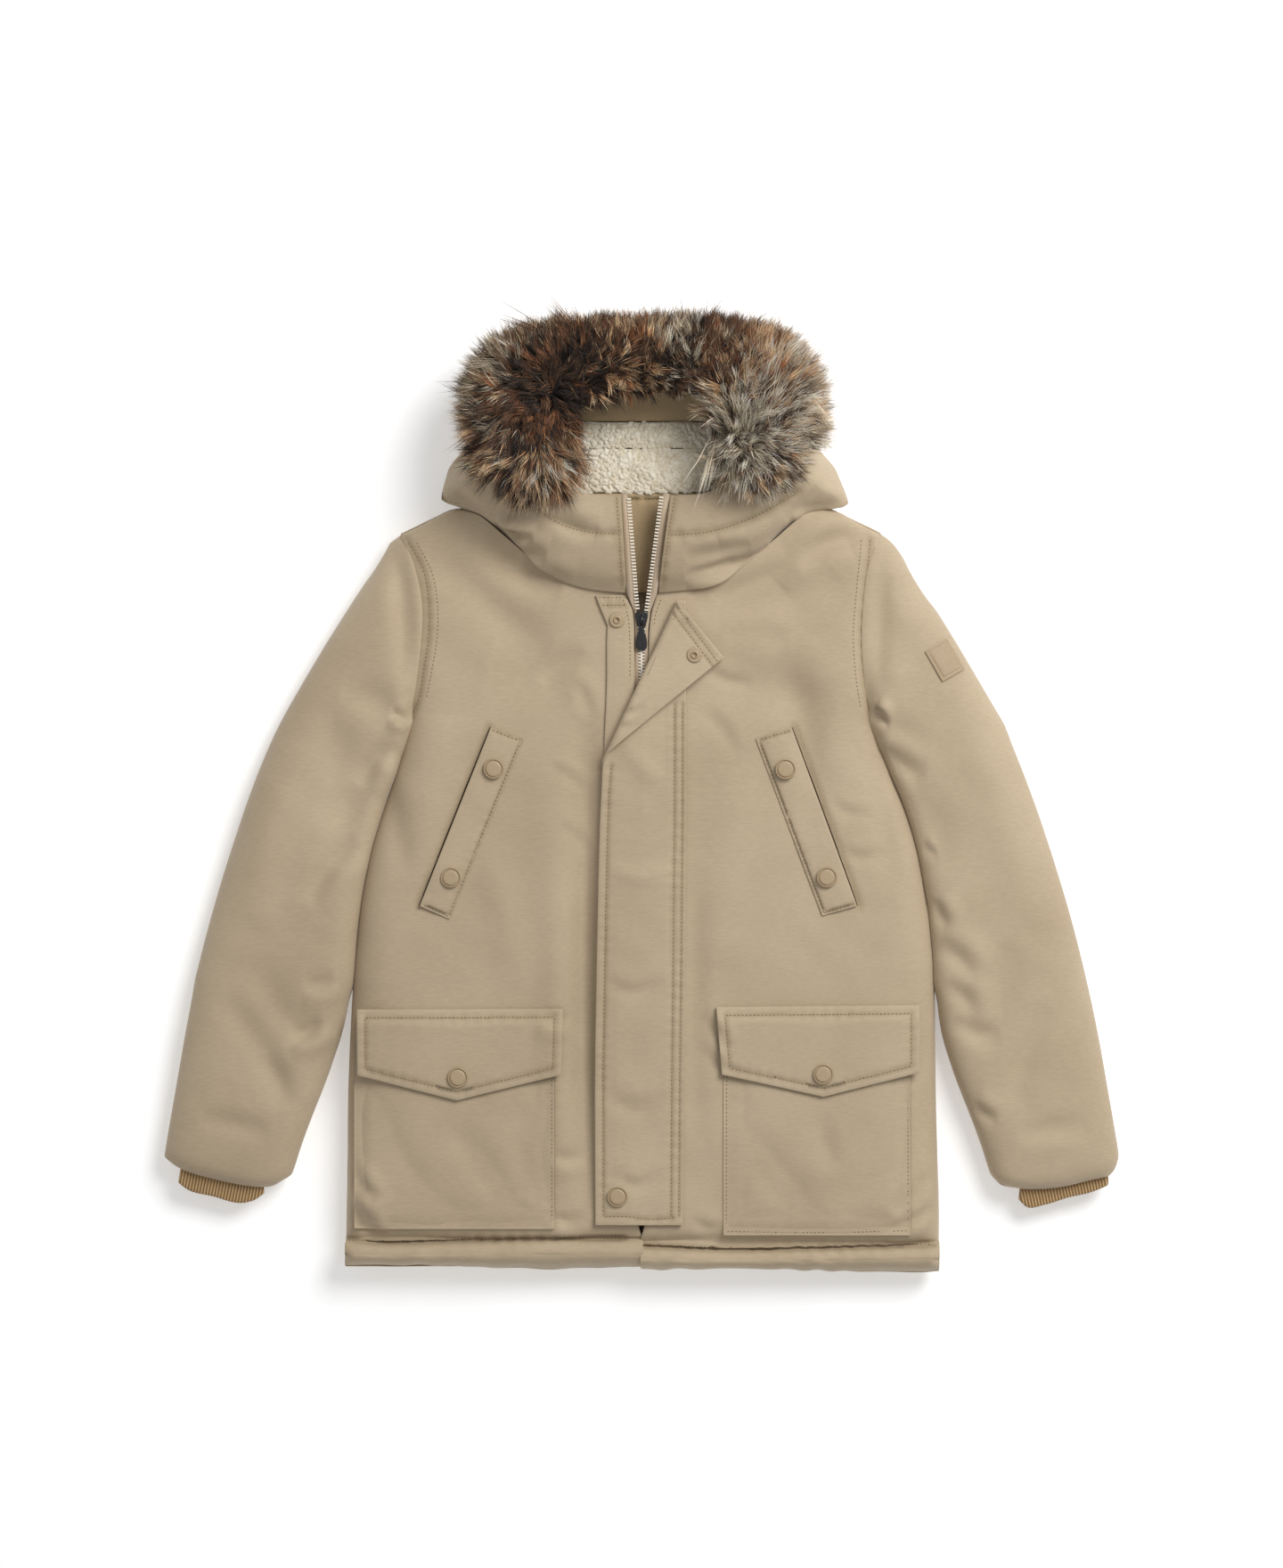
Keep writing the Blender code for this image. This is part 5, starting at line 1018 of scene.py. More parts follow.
piles = []
for nodeName in ("pile_panel", "pile_band"):
    piece = shellOf(nodeName, nodeName + "Knit", pileKnit, 2, True)
    spots, normals = readSpots(piece.data)
    shows = np.clip(normals[:, 2] * 2, 0, 1)
    curls = curlField(spots)
    x, y = spots[:, 0], spots[:, 1]
    lumps = np.sin(x / 11 + np.sin(y / 7)) * np.sin(y / 9 + 1.3 * np.sin(x / 13))
    raised = pile["curlHeight"] * (curls - 0.6) + pile["lumpHeight"] * lumps
    writeSpots(piece.data, spots + normals * (raised * shows)[:, None])
    # painted shade: the pile is darker where it lies lower, between the curls and lumps
    noteOnPoints(piece.data, "curlShadeAndTone", np.clip(0.45 + 0.4 * curls + 0.15 * lumps, 0, 1))
    piles.append(piece)


def addCurls():
    # the pile's curls are small uneven knots, one close to the next
    draw = np.random.default_rng(pile["seed"])
    shape = bmesh.new()
    bmesh.ops.create_icosphere(shape, subdivisions=2, radius=1.0)
    lower = [face for face in shape.faces if face.calc_center_median().z < -0.2]
    bmesh.ops.delete(shape, geom=lower, context="FACES")
    knot, knotFaces = partsOf(shape)
    tree = treeOf(piles)
    points, faces, depth = [], [], []
    low, high = pile["from"], pile["to"]
    for x in np.arange(low[0], high[0], pile["knotStep"]):
        for y in np.arange(low[1], high[1], pile["knotStep"]):
            at = np.array([x, y]) + draw.normal(0, pile["knotSpread"], 2)
            z, _ = dropOn(tree, *at)
            inSeam = any(abs(at[k] - middle) < half for k, (middle, half) in enumerate(pile["seams"]))
            if z is None or inSeam:
                continue
            lump = noise.noise(Vector((at[0] / pile["knotLumpMm"], at[1] / pile["knotLumpMm"], 1.5)))
            radius = draw.uniform(*pile["knotRadius"])
            turn = Matrix.Rotation(draw.uniform(0, 6.28), 3, "Z")
            size = radius * np.array([draw.uniform(*span) for span in pile["knotShape"]])
            place = np.array([at[0], at[1] + planShift, z - 0.1 * radius + pile["knotLump"] * lump])
            addCopy(points, faces, (knot * size) @ np.array(turn).T + place, knotFaces)
            # painted shade: lower knots are darker, with some tone that differs at random
            depth.extend([float(np.clip(0.55 + 0.5 * lump + draw.normal(0, 0.13), 0, 1))] * len(knot))
    mesh = meshOf("pileCurls", points, faces)
    noteOnPoints(mesh, "curlShadeAndTone", depth)
    putInScene("pileCurls", mesh, pileKnit)
    print("pile curls:", len(faces), "triangles")


addCurls()
print("pile made")

# the open side of each chest pocket: a thin dark strip laid on the front, painted shadow where the pocket opens
mouth = {"half": 0.75, "beside": 0.45, "above": 0.3, "steps": 40, "elseHigh": 37.0}   # mm, but for the steps


def addMouth(name, corners, frontName):
    tree = treeOf([panels[frontName]])
    first, last = np.array(corners[0], float), np.array(corners[3], float)
    along = (last - first) / np.linalg.norm(last - first)
    away = np.array([-along[1], along[0]])
    away *= np.sign(away @ (first - np.array(corners[1], float)))
    points = []
    for t in np.linspace(0, 1, mouth["steps"] + 1):
        centre = first + (last - first) * t + away * mouth["beside"]
        half = mouth["half"] * (0.35 + 0.65 * math.sin(math.pi * t)**0.6) * (1 + 0.12 * math.sin(23 * t))
        for side in (-1, 1):
            at = centre + away * side * half
            z, _ = dropOn(tree, *at)
            points.append((at[0], at[1] + planShift, (z or mouth["elseHigh"]) + mouth["above"]))
    faces = [[2 * k, 2 * k + 1, 2 * k + 3, 2 * k + 2] for k in range(mouth["steps"])]
    putInScene(name, meshOf(name, points, faces), mouthShadowCloth)


addMouth("pocketMouthShadowRight", weltCorners["welt_right"], "front_right")
addMouth("pocketMouthShadowLeft", weltCorners["welt_left"], "front_left")
print("pocket mouths made")

# sewing: each stitch is a small raised thread
stitch = {"from": 0.3, "pitch": 3.1, "length": 2.1, "half": 0.38, "rise": 0.36, "sunk": 0.05,
          "steepest": 1.5, "ringAt": (0.28, 0.72)}   # mm, but for the rings' places as shares of the length


def stitchRuns():
    # every sewn line with the pieces that it is sewn through
    runs = []
    for name, path in sewnPaths.items():
        side = "right" if "Right" in name else "left"
        under = [panels["front_" + side]]
        if name.startswith("mouth"):
            continue
        if name.startswith(("collar", "zipCollar")):
            under = [panels["hood_" + side]]
        if name.startswith("pocket"):
            under = [flats["pocket_" + side]]
        if name.startswith("zipFrontRight"):
            under.append(flats["fly_underlap"])
        runs.append((under, path))
    for name, piece in flats.items():
        runs += [([piece], path) for path in rowsOn(name)]
    return runs


def addStitches():
    points, faces = [], []
    trees = {}
    ring = [(-1.0, 0.0), (0.0, 1.0), (1.0, 0.0)]
    for under, path in stitchRuns():
        key = tuple(piece.name for piece in under)
        if key not in trees:
            trees[key] = treeOf(under)
        tree = trees[key]
        length = lengthAlong(path)
        for start in np.arange(stitch["from"], length[-1] - stitch["length"], stitch["pitch"]):
            ends = []
            for at in (start, start + stitch["length"]):
                x, y = np.interp(at, length, path[:, 0]), np.interp(at, length, path[:, 1])
                z, normal = dropOn(tree, x, y)
                if z is None:
                    break
                ends.append((np.array([x, y + planShift, z]), np.array(normal)))
            if len(ends) < 2:
                continue
            (a, up), (b, _) = ends
            way = (b - a) / max(np.linalg.norm(b - a), 1e-6)
            if abs(b[2] - a[2]) > stitch["steepest"]:
                continue
            side = np.cross(up, way)
            first = len(points)
            points.append(a - up * stitch["sunk"])
            for t in stitch["ringAt"]:
                middle = a + (b - a) * t
                for across, high in ring:
                    points.append(middle + side * across * stitch["half"] + up * high * stitch["rise"])
            points.append(b - up * stitch["sunk"])
            for j in range(2):
                faces.append([first, first + 1 + j, first + 2 + j])
                faces.append([first + 1 + j, first + 4 + j, first + 5 + j, first + 2 + j])
                faces.append([first + 7, first + 5 + j, first + 4 + j])
            faces.append([first, first + 3, first + 1])
            faces.append([first + 3, first + 6, first + 4, first + 1])
            faces.append([first + 7, first + 4, first + 6])
    putInScene("topstitching", meshOf("topstitching", points, faces), sewingThread)
    print("stitches:", len(points) // 8)


addStitches()

# snaps: a turned rim round a shallow disc, or an open socket
snapSize = {"cap": 8.0, "socket": 6.0, "height": 2.4, "sides": 48}   # radii and height in mm
# from the foot outside to the middle: share of the radius, share of the height
capProfile = ((0.93, 0.0), (0.99, 0.14), (1.0, 0.38), (0.985, 0.72), (0.95, 0.94), (0.92, 0.98), (0.90, 0.92),
              (0.875, 0.55), (0.83, 0.5), (0.785, 0.56), (0.76, 0.9), (0.60, 0.95), (0.30, 0.97),
              (0.08, 0.97))
socketProfile = ((0.90, 0.0), (0.98, 0.10), (1.0, 0.24), (0.96, 0.40), (0.86, 0.46), (0.66, 0.42),
                 (0.52, 0.40), (0.49, 0.52), (0.46, 0.80), (0.42, 0.92), (0.36, 0.94), (0.31, 0.86),
                 (0.29, 0.40), (0.27, 0.16), (0.22, 0.12), (0.08, 0.12))
snapNodes = {
    "cap": ("snap_welt_right_top", "snap_welt_right_low", "snap_welt_left_top", "snap_welt_left_low",
            "snap_pocket_right", "snap_pocket_left", "snap_flap_low"),
    "socket": ("snap_flap_top", "snap_underlap"),
}


def turnedMesh(name, centre, outer, profile):
    points, faces = [], []
    sides = snapSize["sides"]
    for share, rise in profile:
        for i in range(sides):
            angle = 2 * math.pi * i / sides
            radius = outer * share
            points.append((centre[0] + radius * math.cos(angle), centre[1] + radius * math.sin(angle),
                           centre[2] + snapSize["height"] * rise))
    for ring in range(len(profile) - 1):
        for i in range(sides):
            j = (i + 1) % sides
            low, high = ring * sides, (ring + 1) * sides
            faces.append([low + i, low + j, high + j, high + i])
    faces.append(list(range(sides))[::-1])
    faces.append(list(range((len(profile) - 1) * sides, len(profile) * sides)))
    return meshOf(name, points, faces)


for kind, profile in (("cap", capProfile), ("socket", socketProfile)):
    for nodeName in snapNodes[kind]:
        low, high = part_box(nodeName)
        centre = ((low.x + high.x) / 2 / mm, (low.y + high.y) / 2 / mm, low.z / mm)
        mesh = turnedMesh(nodeName + "Turned", centre, snapSize[kind], profile)
        piece = putInScene(nodeName + "Turned", mesh, snapPlastic)
        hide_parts(nodeName)
print("snaps made")

# zip
zipSize = {"pitch": 2.5, "toothAcross": 3.4, "toothAlong": 1.35, "toothHigh": 1.8, "toothRound": 0.28,
           "from": -334.0, "to": 231, "inSlider": (129, 142), "onTape": 1.2, "above": 0.1,
           "tapeFrom": 0.9, "tapeEdge": 1.5}   # mm
zipLine = {   # distance from the middle at each y: the tape's inner edge, and the middle of the teeth
    "y": (-352, -339, 118, 128, 141, 156, 232.5),
    "right": (0.2, 0.2, 0.2, 0.9, 2.8, 4.2, 11.9),
    "left": (0.2, 0.2, 0.2, 0.9, 3.5, 6.2, 18.2),
    "rightTeeth": (0.8, 0.8, 0.8, 1.4, 3.0, 4.4, 10.2),
    "leftTeeth": (0.8, 0.8, 0.8, 1.4, 3.7, 5.8, 15.9),
}


def onZip(column, y):
    return np.interp(y, zipLine["y"], zipLine[column])


def toothMesh():
    # one moulded tooth: a block with a rounded head towards the other side
    shape = bmesh.new()
    bmesh.ops.create_cube(shape, size=1.0)
    for vertex in shape.verts:
        vertex.co.x *= zipSize["toothAcross"]
        vertex.co.y *= zipSize["toothAlong"]
        vertex.co.z *= zipSize["toothHigh"]
    bmesh.ops.bevel(shape, geom=shape.edges[:], offset=zipSize["toothRound"], segments=1, affect="EDGES",
                    profile=0.5)
    return partsOf(shape)


def addTeeth():
    toothPoints, toothFaces = toothMesh()
    points, faces = [], []
    for side, sign in (("right", -1), ("left", 1)):
        tape = treeOf([nodes["zip_tape_" + side]])
        start = zipSize["from"] + (zipSize["pitch"] / 2 if sign > 0 else 0)   # the sides' teeth alternate
        for y in np.arange(start, zipSize["to"], zipSize["pitch"]):
            if zipSize["inSlider"][0] < y < zipSize["inSlider"][1]:
                continue
            z, _ = dropOn(tape, sign * (onZip(side, y) + zipSize["onTape"]), y)
            if z is None:
                continue
            middle = onZip(side + "Teeth", y)
            lean = math.atan2(-sign * (onZip(side + "Teeth", y + 1) - middle), 1.0)
            cosine, sine = math.cos(lean), math.sin(lean)
            turn = np.array([[cosine, -sine, 0], [sine, cosine, 0], [0, 0, 1]])
            place = np.array([sign * middle, y + planShift, z + zipSize["above"]])
            addCopy(points, faces, toothPoints @ turn.T + place, toothFaces)
    putInScene("zipTeeth", meshOf("zipTeeth", points, faces, smooth=False), zipTeeth)


castForm = {
    "flatTurn": 2, "sharpTurn": 30, "smoothTurn": 40, "longest": 1.6,   # degrees between faces, mm
    # world y of each level in mm, and the width there as a share of the plain plate's
    "zip_pull": ((113.8, 116, 119, 123, 127.5, 131.5, 138.4), (0.72, 1.02, 1.10, 1.0, 0.72, 0.66, 0.80)),
    "zip_slider": ((133.3, 135.5, 138.0, 141.0, 143.0, 144.3), (0.70, 0.80, 0.92, 1.06, 1.0, 0.80)),
}


def castCopy(nodeName, pieceName, body, roundMm):
    # a hard CAD piece with its edges rounded and its sides waisted as a casting's are
    shape = openMesh(nodes[nodeName].data)
    bmesh.ops.remove_doubles(shape, verts=shape.verts, dist=1e-6)
    bmesh.ops.dissolve_limit(shape, angle_limit=math.radians(castForm["flatTurn"]), verts=shape.verts,
                             edges=shape.edges)
    sharp = [edge for edge in shape.edges if edge.calc_face_angle(0) > math.radians(castForm["sharpTurn"])]
    bmesh.ops.bevel(shape, geom=sharp, offset=roundMm * mm, segments=3, profile=0.5, affect="EDGES",
                    clamp_overlap=True)
    splitLargeFaces(shape)
    for _ in range(3):
        tall = [edge for edge in shape.edges
                if abs(edge.verts[0].co.y - edge.verts[1].co.y) > castForm["longest"] * mm]
        bmesh.ops.subdivide_edges(shape, edges=tall, cuts=1)
        splitLargeFaces(shape)
    for vertex in shape.verts:
        vertex.co.x *= float(np.interp(vertex.co.y / mm, *castForm[nodeName]))
    mesh = bpy.data.meshes.new(pieceName)
    closeMesh(shape, mesh)
    mesh.shade_smooth()
    mesh.set_sharp_from_angle(angle=math.radians(castForm["smoothTurn"]))
    piece = putInScene(pieceName, mesh, sliderMetal, body)
    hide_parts(nodeName)


def addTapes():
    # the woven tape starts where the teeth are clamped on
    for side, sign in (("right", -1), ("left", 1)):
        nodeName = "zip_tape_" + side
        piece = shellOf(nodeName, "zipTape" + side.capitalize(), zipTape, 0, False, 0)
        spots, _ = readSpots(piece.data)
        y = spots[:, 1] - planShift
        atEdge = sign * spots[:, 0] < onZip(side, y) + zipSize["tapeEdge"]
        start = onZip(side + "Teeth", y) + zipSize["tapeFrom"]
        spots[:, 0] = np.where(atEdge, sign * start, spots[:, 0])
        writeSpots(piece.data, spots)


addTapes()
addTeeth()
castCopy("zip_slider", "zipSliderCast", "coat", 0.35)
castCopy("zip_pull", "zipPullCast", "pull", 0.3)
print("zip made")

# plain patch on the sleeve
patch = {"centre": (238.5, 103.0), "halfWidth": 10.5, "halfHeight": 14.0, "turn": 30.0,
         "lineInset": 2.4, "lineDepth": 0.5, "lineWidth": 0.6}


def patchFace(plan):
    # a moulded line runs round the plain face
    turn = math.radians(patch["turn"])
    offset = plan - patch["centre"]
    across = np.abs(offset @ np.array([math.cos(turn), math.sin(turn)]))
    upward = np.abs(offset @ np.array([-math.sin(turn), math.cos(turn)]))
    edge = np.minimum(patch["halfWidth"] - across, patch["halfHeight"] - upward)
    return -patch["lineDepth"] * bell(edge - patch["lineInset"], patch["lineWidth"])


patchPiece = shellOf("sleeve_patch", "sleevePatch", patchRubber, 2, True, 0.3)
lift(patchPiece, patchFace)
print("patch made")

# fur trim
fur = {
    "seed": 11, "tufts": 3420, "hairs": 22, "tuftRadius": 3.8, "gather": 0.5, "stray": 0.06,
    "length": (32.0, 42.0), "hairWidth": 0.64, "taper": (0.7, 1.0, 0.75, 0.0), "segments": 3,
    "shorterOutside": 0.22, "lengthSpread": 0.16, "strayShare": 0.08, "strayMore": 2.6,
    "wispGather": 0.12, "wispFlat": 0.8, "wispRun": 0.76,    # the run is the share of its length seen in plan
    "reach": 16.0, "swirl": 0.7, "swirlMm": 17, "parting": 1.5, "tuftTurn": 0.15, "curl": 0.15,
    "flatSpread": 0.07, "flatFrom": 0.3, "flatTo": 0.92, "flatAtParting": 0.25, "turnAtParting": 0.7,
    "wave": 0.35, "facingSpread": 0.5,
    "rise": (1.25, 0.45, 0.75),   # how a hair rises from its root, towards its tip and where it lies flat
    "run": (0.95, 1.2),   # how far a hair runs out in plan, and how late
    "patchTone": (0.5, 0.95, 0.1), "rootTone": 0.6, "lowTone": (0.8, 0.2),
    "tuftTone": 0.3, "hairTone": 0.2, "patchMm": 14.0, "otherKind": 0.2,
    "baseScale": 0.43, "baseHigh": 66.0, "baseFlat": 0.62,   # the backing's size beside the CAD solid's
    "groundFrom": (-190, 190), "groundTo": (190, 400), "groundStep": 4.0, "clear": 0.8,
    "highest": 117.0, "farthest": 399.0,
    # the fur is one piece between each two of these x
    "bounds": (-1000, -104, -68, 0, 68, 104, 1000),
    "pieces": ("furRightOuter", "furRightInner", "furCrownRight", "furCrownLeft", "furLeftInner",
               "furLeftOuter"),
}
furSpine = ((-82, 264), (-94, 286), (-88, 312), (-46, 330), (0, 334), (44, 335), (84, 320), (98, 292),
            (86, 270))
hairKinds = {   # colours at the root, low on the hair, high on it and at the tip
    "silver": ("#3c3128", "#857461", "#c6b69d", "#b7a68c"),
    "cream": ("#56483a", "#ab997c", "#e0d3ba", "#f4ecdd"),
    "tawny": ("#2f2118", "#7b553a", "#b48a62", "#dabf9c"),
    "rust": ("#1d130d", "#553623", "#87593a", "#5e3f2a"),
    "umber": ("#17100c", "#3b2a1f", "#634834", "#30231a"),
    "black": ("#0b0807", "#181210", "#2f251e", "#15100d"),
    "grizzle": ("#29221d", "#6b5e50", "#a4957f", "#ddd1bc"),
}
# plan point, the way the hair lies in degrees, how flat it lies, its share of the length, kinds
furGrowth = (
    (-118, 345, 122, 0.85, 1, "silver silver cream umber"),
    (-92, 352, 104, 0.8, 0.85, "silver silver tawny umber"),
    (-136, 312, 158, 0.88, 1, "silver silver tawny silver"),
    (-138, 285, 178, 0.88, 1, "silver tawny tawny umber"),
    (-134, 258, 196, 0.88, 1, "tawny tawny silver umber"),
    (-122, 240, 218, 0.88, 0.9, "tawny tawny umber tawny"),
    (-94, 232, 246, 0.88, 0.75, "tawny umber tawny tawny"),
    (-72, 234, 274, 0.88, 0.8, "tawny rust tawny black"),
    (-114, 322, 150, 0.8, 1, "silver silver umber rust"),
    (-112, 296, 186, 0.78, 1, "umber silver tawny rust"),
    (-94, 312, 200, 0.75, 0.9, "umber black rust umber"),
    (-108, 268, 214, 0.82, 1, "umber tawny black rust"), (-92, 286, 262, 0.8, 1, "black umber rust black"),
    (-76, 300, 296, 0.8, 1, "black rust umber black"), (-74, 268, 290, 0.85, 1, "rust black tawny cream"),
    (-92, 256, 256, 0.85, 0.9, "tawny black umber tawny"),
    (-62, 250, 300, 0.88, 0.95, "rust tawny cream black"),
    (-52, 272, 316, 0.88, 0.8, "rust tawny umber tawny"), (-56, 294, 322, 0.8, 0.8, "rust umber rust tawny"),
    (-77, 318, 132, 0.72, 0.85, "umber black rust umber"),
    (-88, 300, 240, 0.75, 0.9, "umber black rust umber"),
    (-70, 345, 98, 0.8, 0.85, "umber rust umber tawny"), (-50, 352, 94, 0.8, 0.8, "umber rust tawny umber"),
    (-28, 352, 90, 0.8, 0.8, "rust umber tawny rust"), (-5, 354, 84, 0.8, 0.8, "rust tawny umber rust"),
    (16, 354, 80, 0.8, 0.8, "tawny umber silver rust"),
    (30, 350, 78, 0.8, 0.8, "silver cream grizzle silver"),
    (46, 352, 76, 0.8, 0.8, "umber rust umber silver"), (66, 354, 70, 0.8, 0.8, "umber rust umber rust"),
    (88, 350, 58, 0.82, 0.85, "rust tawny rust umber"), (108, 344, 42, 0.85, 0.9, "tawny rust tawny umber"),
    (-62, 322, 96, 0.72, 0.9, "black umber black black"),
    (-40, 320, 74, 0.72, 0.9, "black black umber rust"), (-10, 326, 80, 0.72, 0.9, "rust tawny umber black"),
    (14, 330, 82, 0.72, 0.9, "umber black tawny"), (36, 330, 86, 0.72, 0.9, "black black umber grizzle"),
    (56, 326, 78, 0.72, 0.9, "rust umber black rust"), (-50, 310, 310, 0.75, 0.8, "black umber tawny"),
    (-28, 313, 306, 0.75, 0.65, "black tawny umber"), (-5, 318, 312, 0.6, 0.4, "tawny rust umber"),
    (25, 320, 300, 0.6, 0.3, "black umber"), (126, 322, 28, 0.88, 0.95, "tawny silver tawny cream"),
    (138, 298, 8, 0.88, 1, "silver cream tawny silver"),
    (142, 272, -12, 0.88, 1, "cream silver grizzle tawny"),
    (138, 252, -24, 0.88, 0.8, "silver cream umber tawny"),
    (114, 242, -46, 0.85, 0.6, "cream umber tawny black"),
    (88, 242, -72, 0.85, 0.65, "umber cream grizzle black"),
    (66, 246, -96, 0.88, 0.8, "grizzle silver cream umber"),
    (54, 260, -130, 0.85, 0.8, "silver grizzle cream"),
    (52, 280, 182, 0.88, 0.75, "cream grizzle silver cream"),
    (60, 298, 158, 0.8, 0.8, "grizzle silver tawny"), (84, 300, 84, 0.75, 1, "cream grizzle cream umber"),
    (98, 318, 66, 0.75, 1, "tawny rust tawny cream"), (70, 316, 92, 0.7, 0.9, "rust tawny rust umber"),
    (106, 300, 26, 0.78, 1, "grizzle umber cream tawny"), (114, 278, 2, 0.82, 1, "silver tawny cream umber"),
    (88, 280, 34, 0.75, 1, "grizzle umber cream umber"),
    (98, 262, -22, 0.8, 0.9, "umber grizzle cream tawny"), (76, 264, 250, 0.8, 0.8, "grizzle cream umber"),
    (106, 252, -36, 0.82, 0.7, "cream umber tawny black"), (74, 286, 62, 0.72, 0.9, "cream grizzle umber"),
    (90, 268, 4, 0.75, 0.9, "grizzle cream umber"),
)
# longer locks that stand out of the mass: plan point of the tip, the way it points, length, kind
furWisps = (
    (-88, 384, 145, 34, "umber"), (-24, 380, 96, 30, "umber"), (13, 382, 74, 30, "tawny"),
    (60, 387, 64, 36, "umber"), (113, 373, 27, 34, "rust"), (-124, 368, 124, 30, "umber"),
    (137, 338, -18, 30, "umber"), (-144, 321, 200, 28, "silver"), (-143, 274, 214, 30, "umber"),
    (148, 272, -62, 30, "silver"), (-68, 217, 276, 32, "umber"), (-110, 216, 240, 30, "black"),
    (56, 221, 268, 34, "grizzle"), (-34, 242, 302, 32, "tawny"), (-38, 262, 318, 32, "tawny"),
    (-42, 230, 288, 30, "umber"), (-104, 388, 138, 34, "umber"), (44, 240, 196, 30, "grizzle"),
    (98, 218, -70, 28, "umber"), (36, 262, 172, 30, "silver"), (-20, 297, 318, 26, "tawny"),
    (0, 378, 92, 28, "rust"), (84, 380, 60, 28, "umber"), (-52, 379, 118, 28, "umber"),
    (150, 300, 8, 28, "silver"), (-146, 296, 190, 28, "tawny"),
)


def furBacking():
    # the CAD solid drawn in towards the line where the hair parts
    spine = smoothPath(furSpine, 4.0)
    piece = shellOf("fur_trim", "furBacking", furBase, 1, False, 0)
    spots, _ = readSpots(piece.data)
    plan = planOf(spots)
    gaps = np.linalg.norm(plan[:, None] - spine[None], axis=-1)
    nearest = spine[np.argmin(gaps, axis=1)]
    drawn = nearest + (plan - nearest) * fur["baseScale"]
    high = fur["baseHigh"] + (spots[:, 2] - fur["baseHigh"]) * fur["baseFlat"]
    writeSpots(piece.data, np.column_stack([drawn[:, 0], drawn[:, 1] + planShift, high]))
    return piece


def groundGrid(pieces, low, high, step):
    # heights of what lies under the fur, for hair that would reach into it
    tree = treeOf(pieces)
    xs, ys = np.arange(low[0], high[0] + step, step), np.arange(low[1], high[1] + step, step)
    grid = np.zeros((len(xs), len(ys)))
    for i, x in enumerate(xs):
        for j, y in enumerate(ys):
            z, _ = dropOn(tree, x, y)
            grid[i, j] = z or 0.0

    def heightAt(x, y):
        u = np.clip((x - low[0]) / step, 0, len(xs) - 1.001)
        v = np.clip((y - low[1]) / step, 0, len(ys) - 1.001)
        i, j = u.astype(int), v.astype(int)
        a, b = u - i, v - j
        return ((1 - a) * (1 - b) * grid[i, j] + a * (1 - b) * grid[i + 1, j] + (1 - a) * b * grid[i, j + 1]
                + a * b * grid[i + 1, j + 1])
    return heightAt


def unit(rows):
    return rows / np.maximum(np.linalg.norm(rows, axis=-1), 1e-9)[..., None]


def scatterRoots(mesh, draw):
    # random points on the backing, with the way the surface faces there
    mesh.calc_loop_triangles()
    spots, _ = readSpots(mesh)
    corners = np.array([tri.vertices[:] for tri in mesh.loop_triangles])
    a, b, c = (spots[corners[:, k]] for k in range(3))
    cross = np.cross(b - a, c - a)
    area = np.linalg.norm(cross, axis=1)
    normal = cross / np.maximum(area, 1e-9)[:, None]
    weight = area * (normal[:, 2] > -0.1)
    chosen = draw.choice(len(area), fur["tufts"], p=weight / weight.sum())
    u, v = draw.random(fur["tufts"]), draw.random(fur["tufts"])
    over = u + v > 1
    u, v = np.where(over, 1 - u, u), np.where(over, 1 - v, v)
    return a[chosen] + (b - a)[chosen] * u[:, None] + (c - a)[chosen] * v[:, None], normal[chosen]


def growTufts(plan, draw):
    # direction, flatness, length share and kind of every tuft, from the growth table
    rows = np.array([row[:5] for row in furGrowth], float)
    gap = (plan[:, None, 0] - rows[None, :, 0])**2 + (plan[:, None, 1] - rows[None, :, 1])**2
    closeness = np.exp(-(gap - gap.min(axis=1, keepdims=True)) / fur["reach"]**2)
    closeness /= closeness.sum(axis=1, keepdims=True)
    turn = np.radians(rows[:, 2])
    way = closeness @ np.stack([np.cos(turn), np.sin(turn)], axis=-1)
    swirl = np.array([noise.noise(Vector((x / fur["swirlMm"], y / fur["swirlMm"], 3.0))) for x, y in plan])
    # where the ways part the hair lies across itself
    loose = np.clip(1 - np.linalg.norm(way, axis=1), 0, 1)**0.8
    heading = np.arctan2(way[:, 1], way[:, 0]) + (fur["swirl"] + fur["parting"] * loose) * swirl
    restless = fur["tuftTurn"] + fur["turnAtParting"] * fur["parting"] * loose
    heading += draw.normal(0, 1, len(plan)) * restless
    flat = closeness @ rows[:, 3] + draw.normal(0, fur["flatSpread"], len(plan))
    flat -= fur["flatAtParting"] * loose
    flat = np.clip(flat, fur["flatFrom"], fur["flatTo"])
    share = closeness @ rows[:, 4]
    pick = (closeness.cumsum(axis=1) > draw.random(len(plan))[:, None]).argmax(axis=1)
    return heading, flat, share, pick


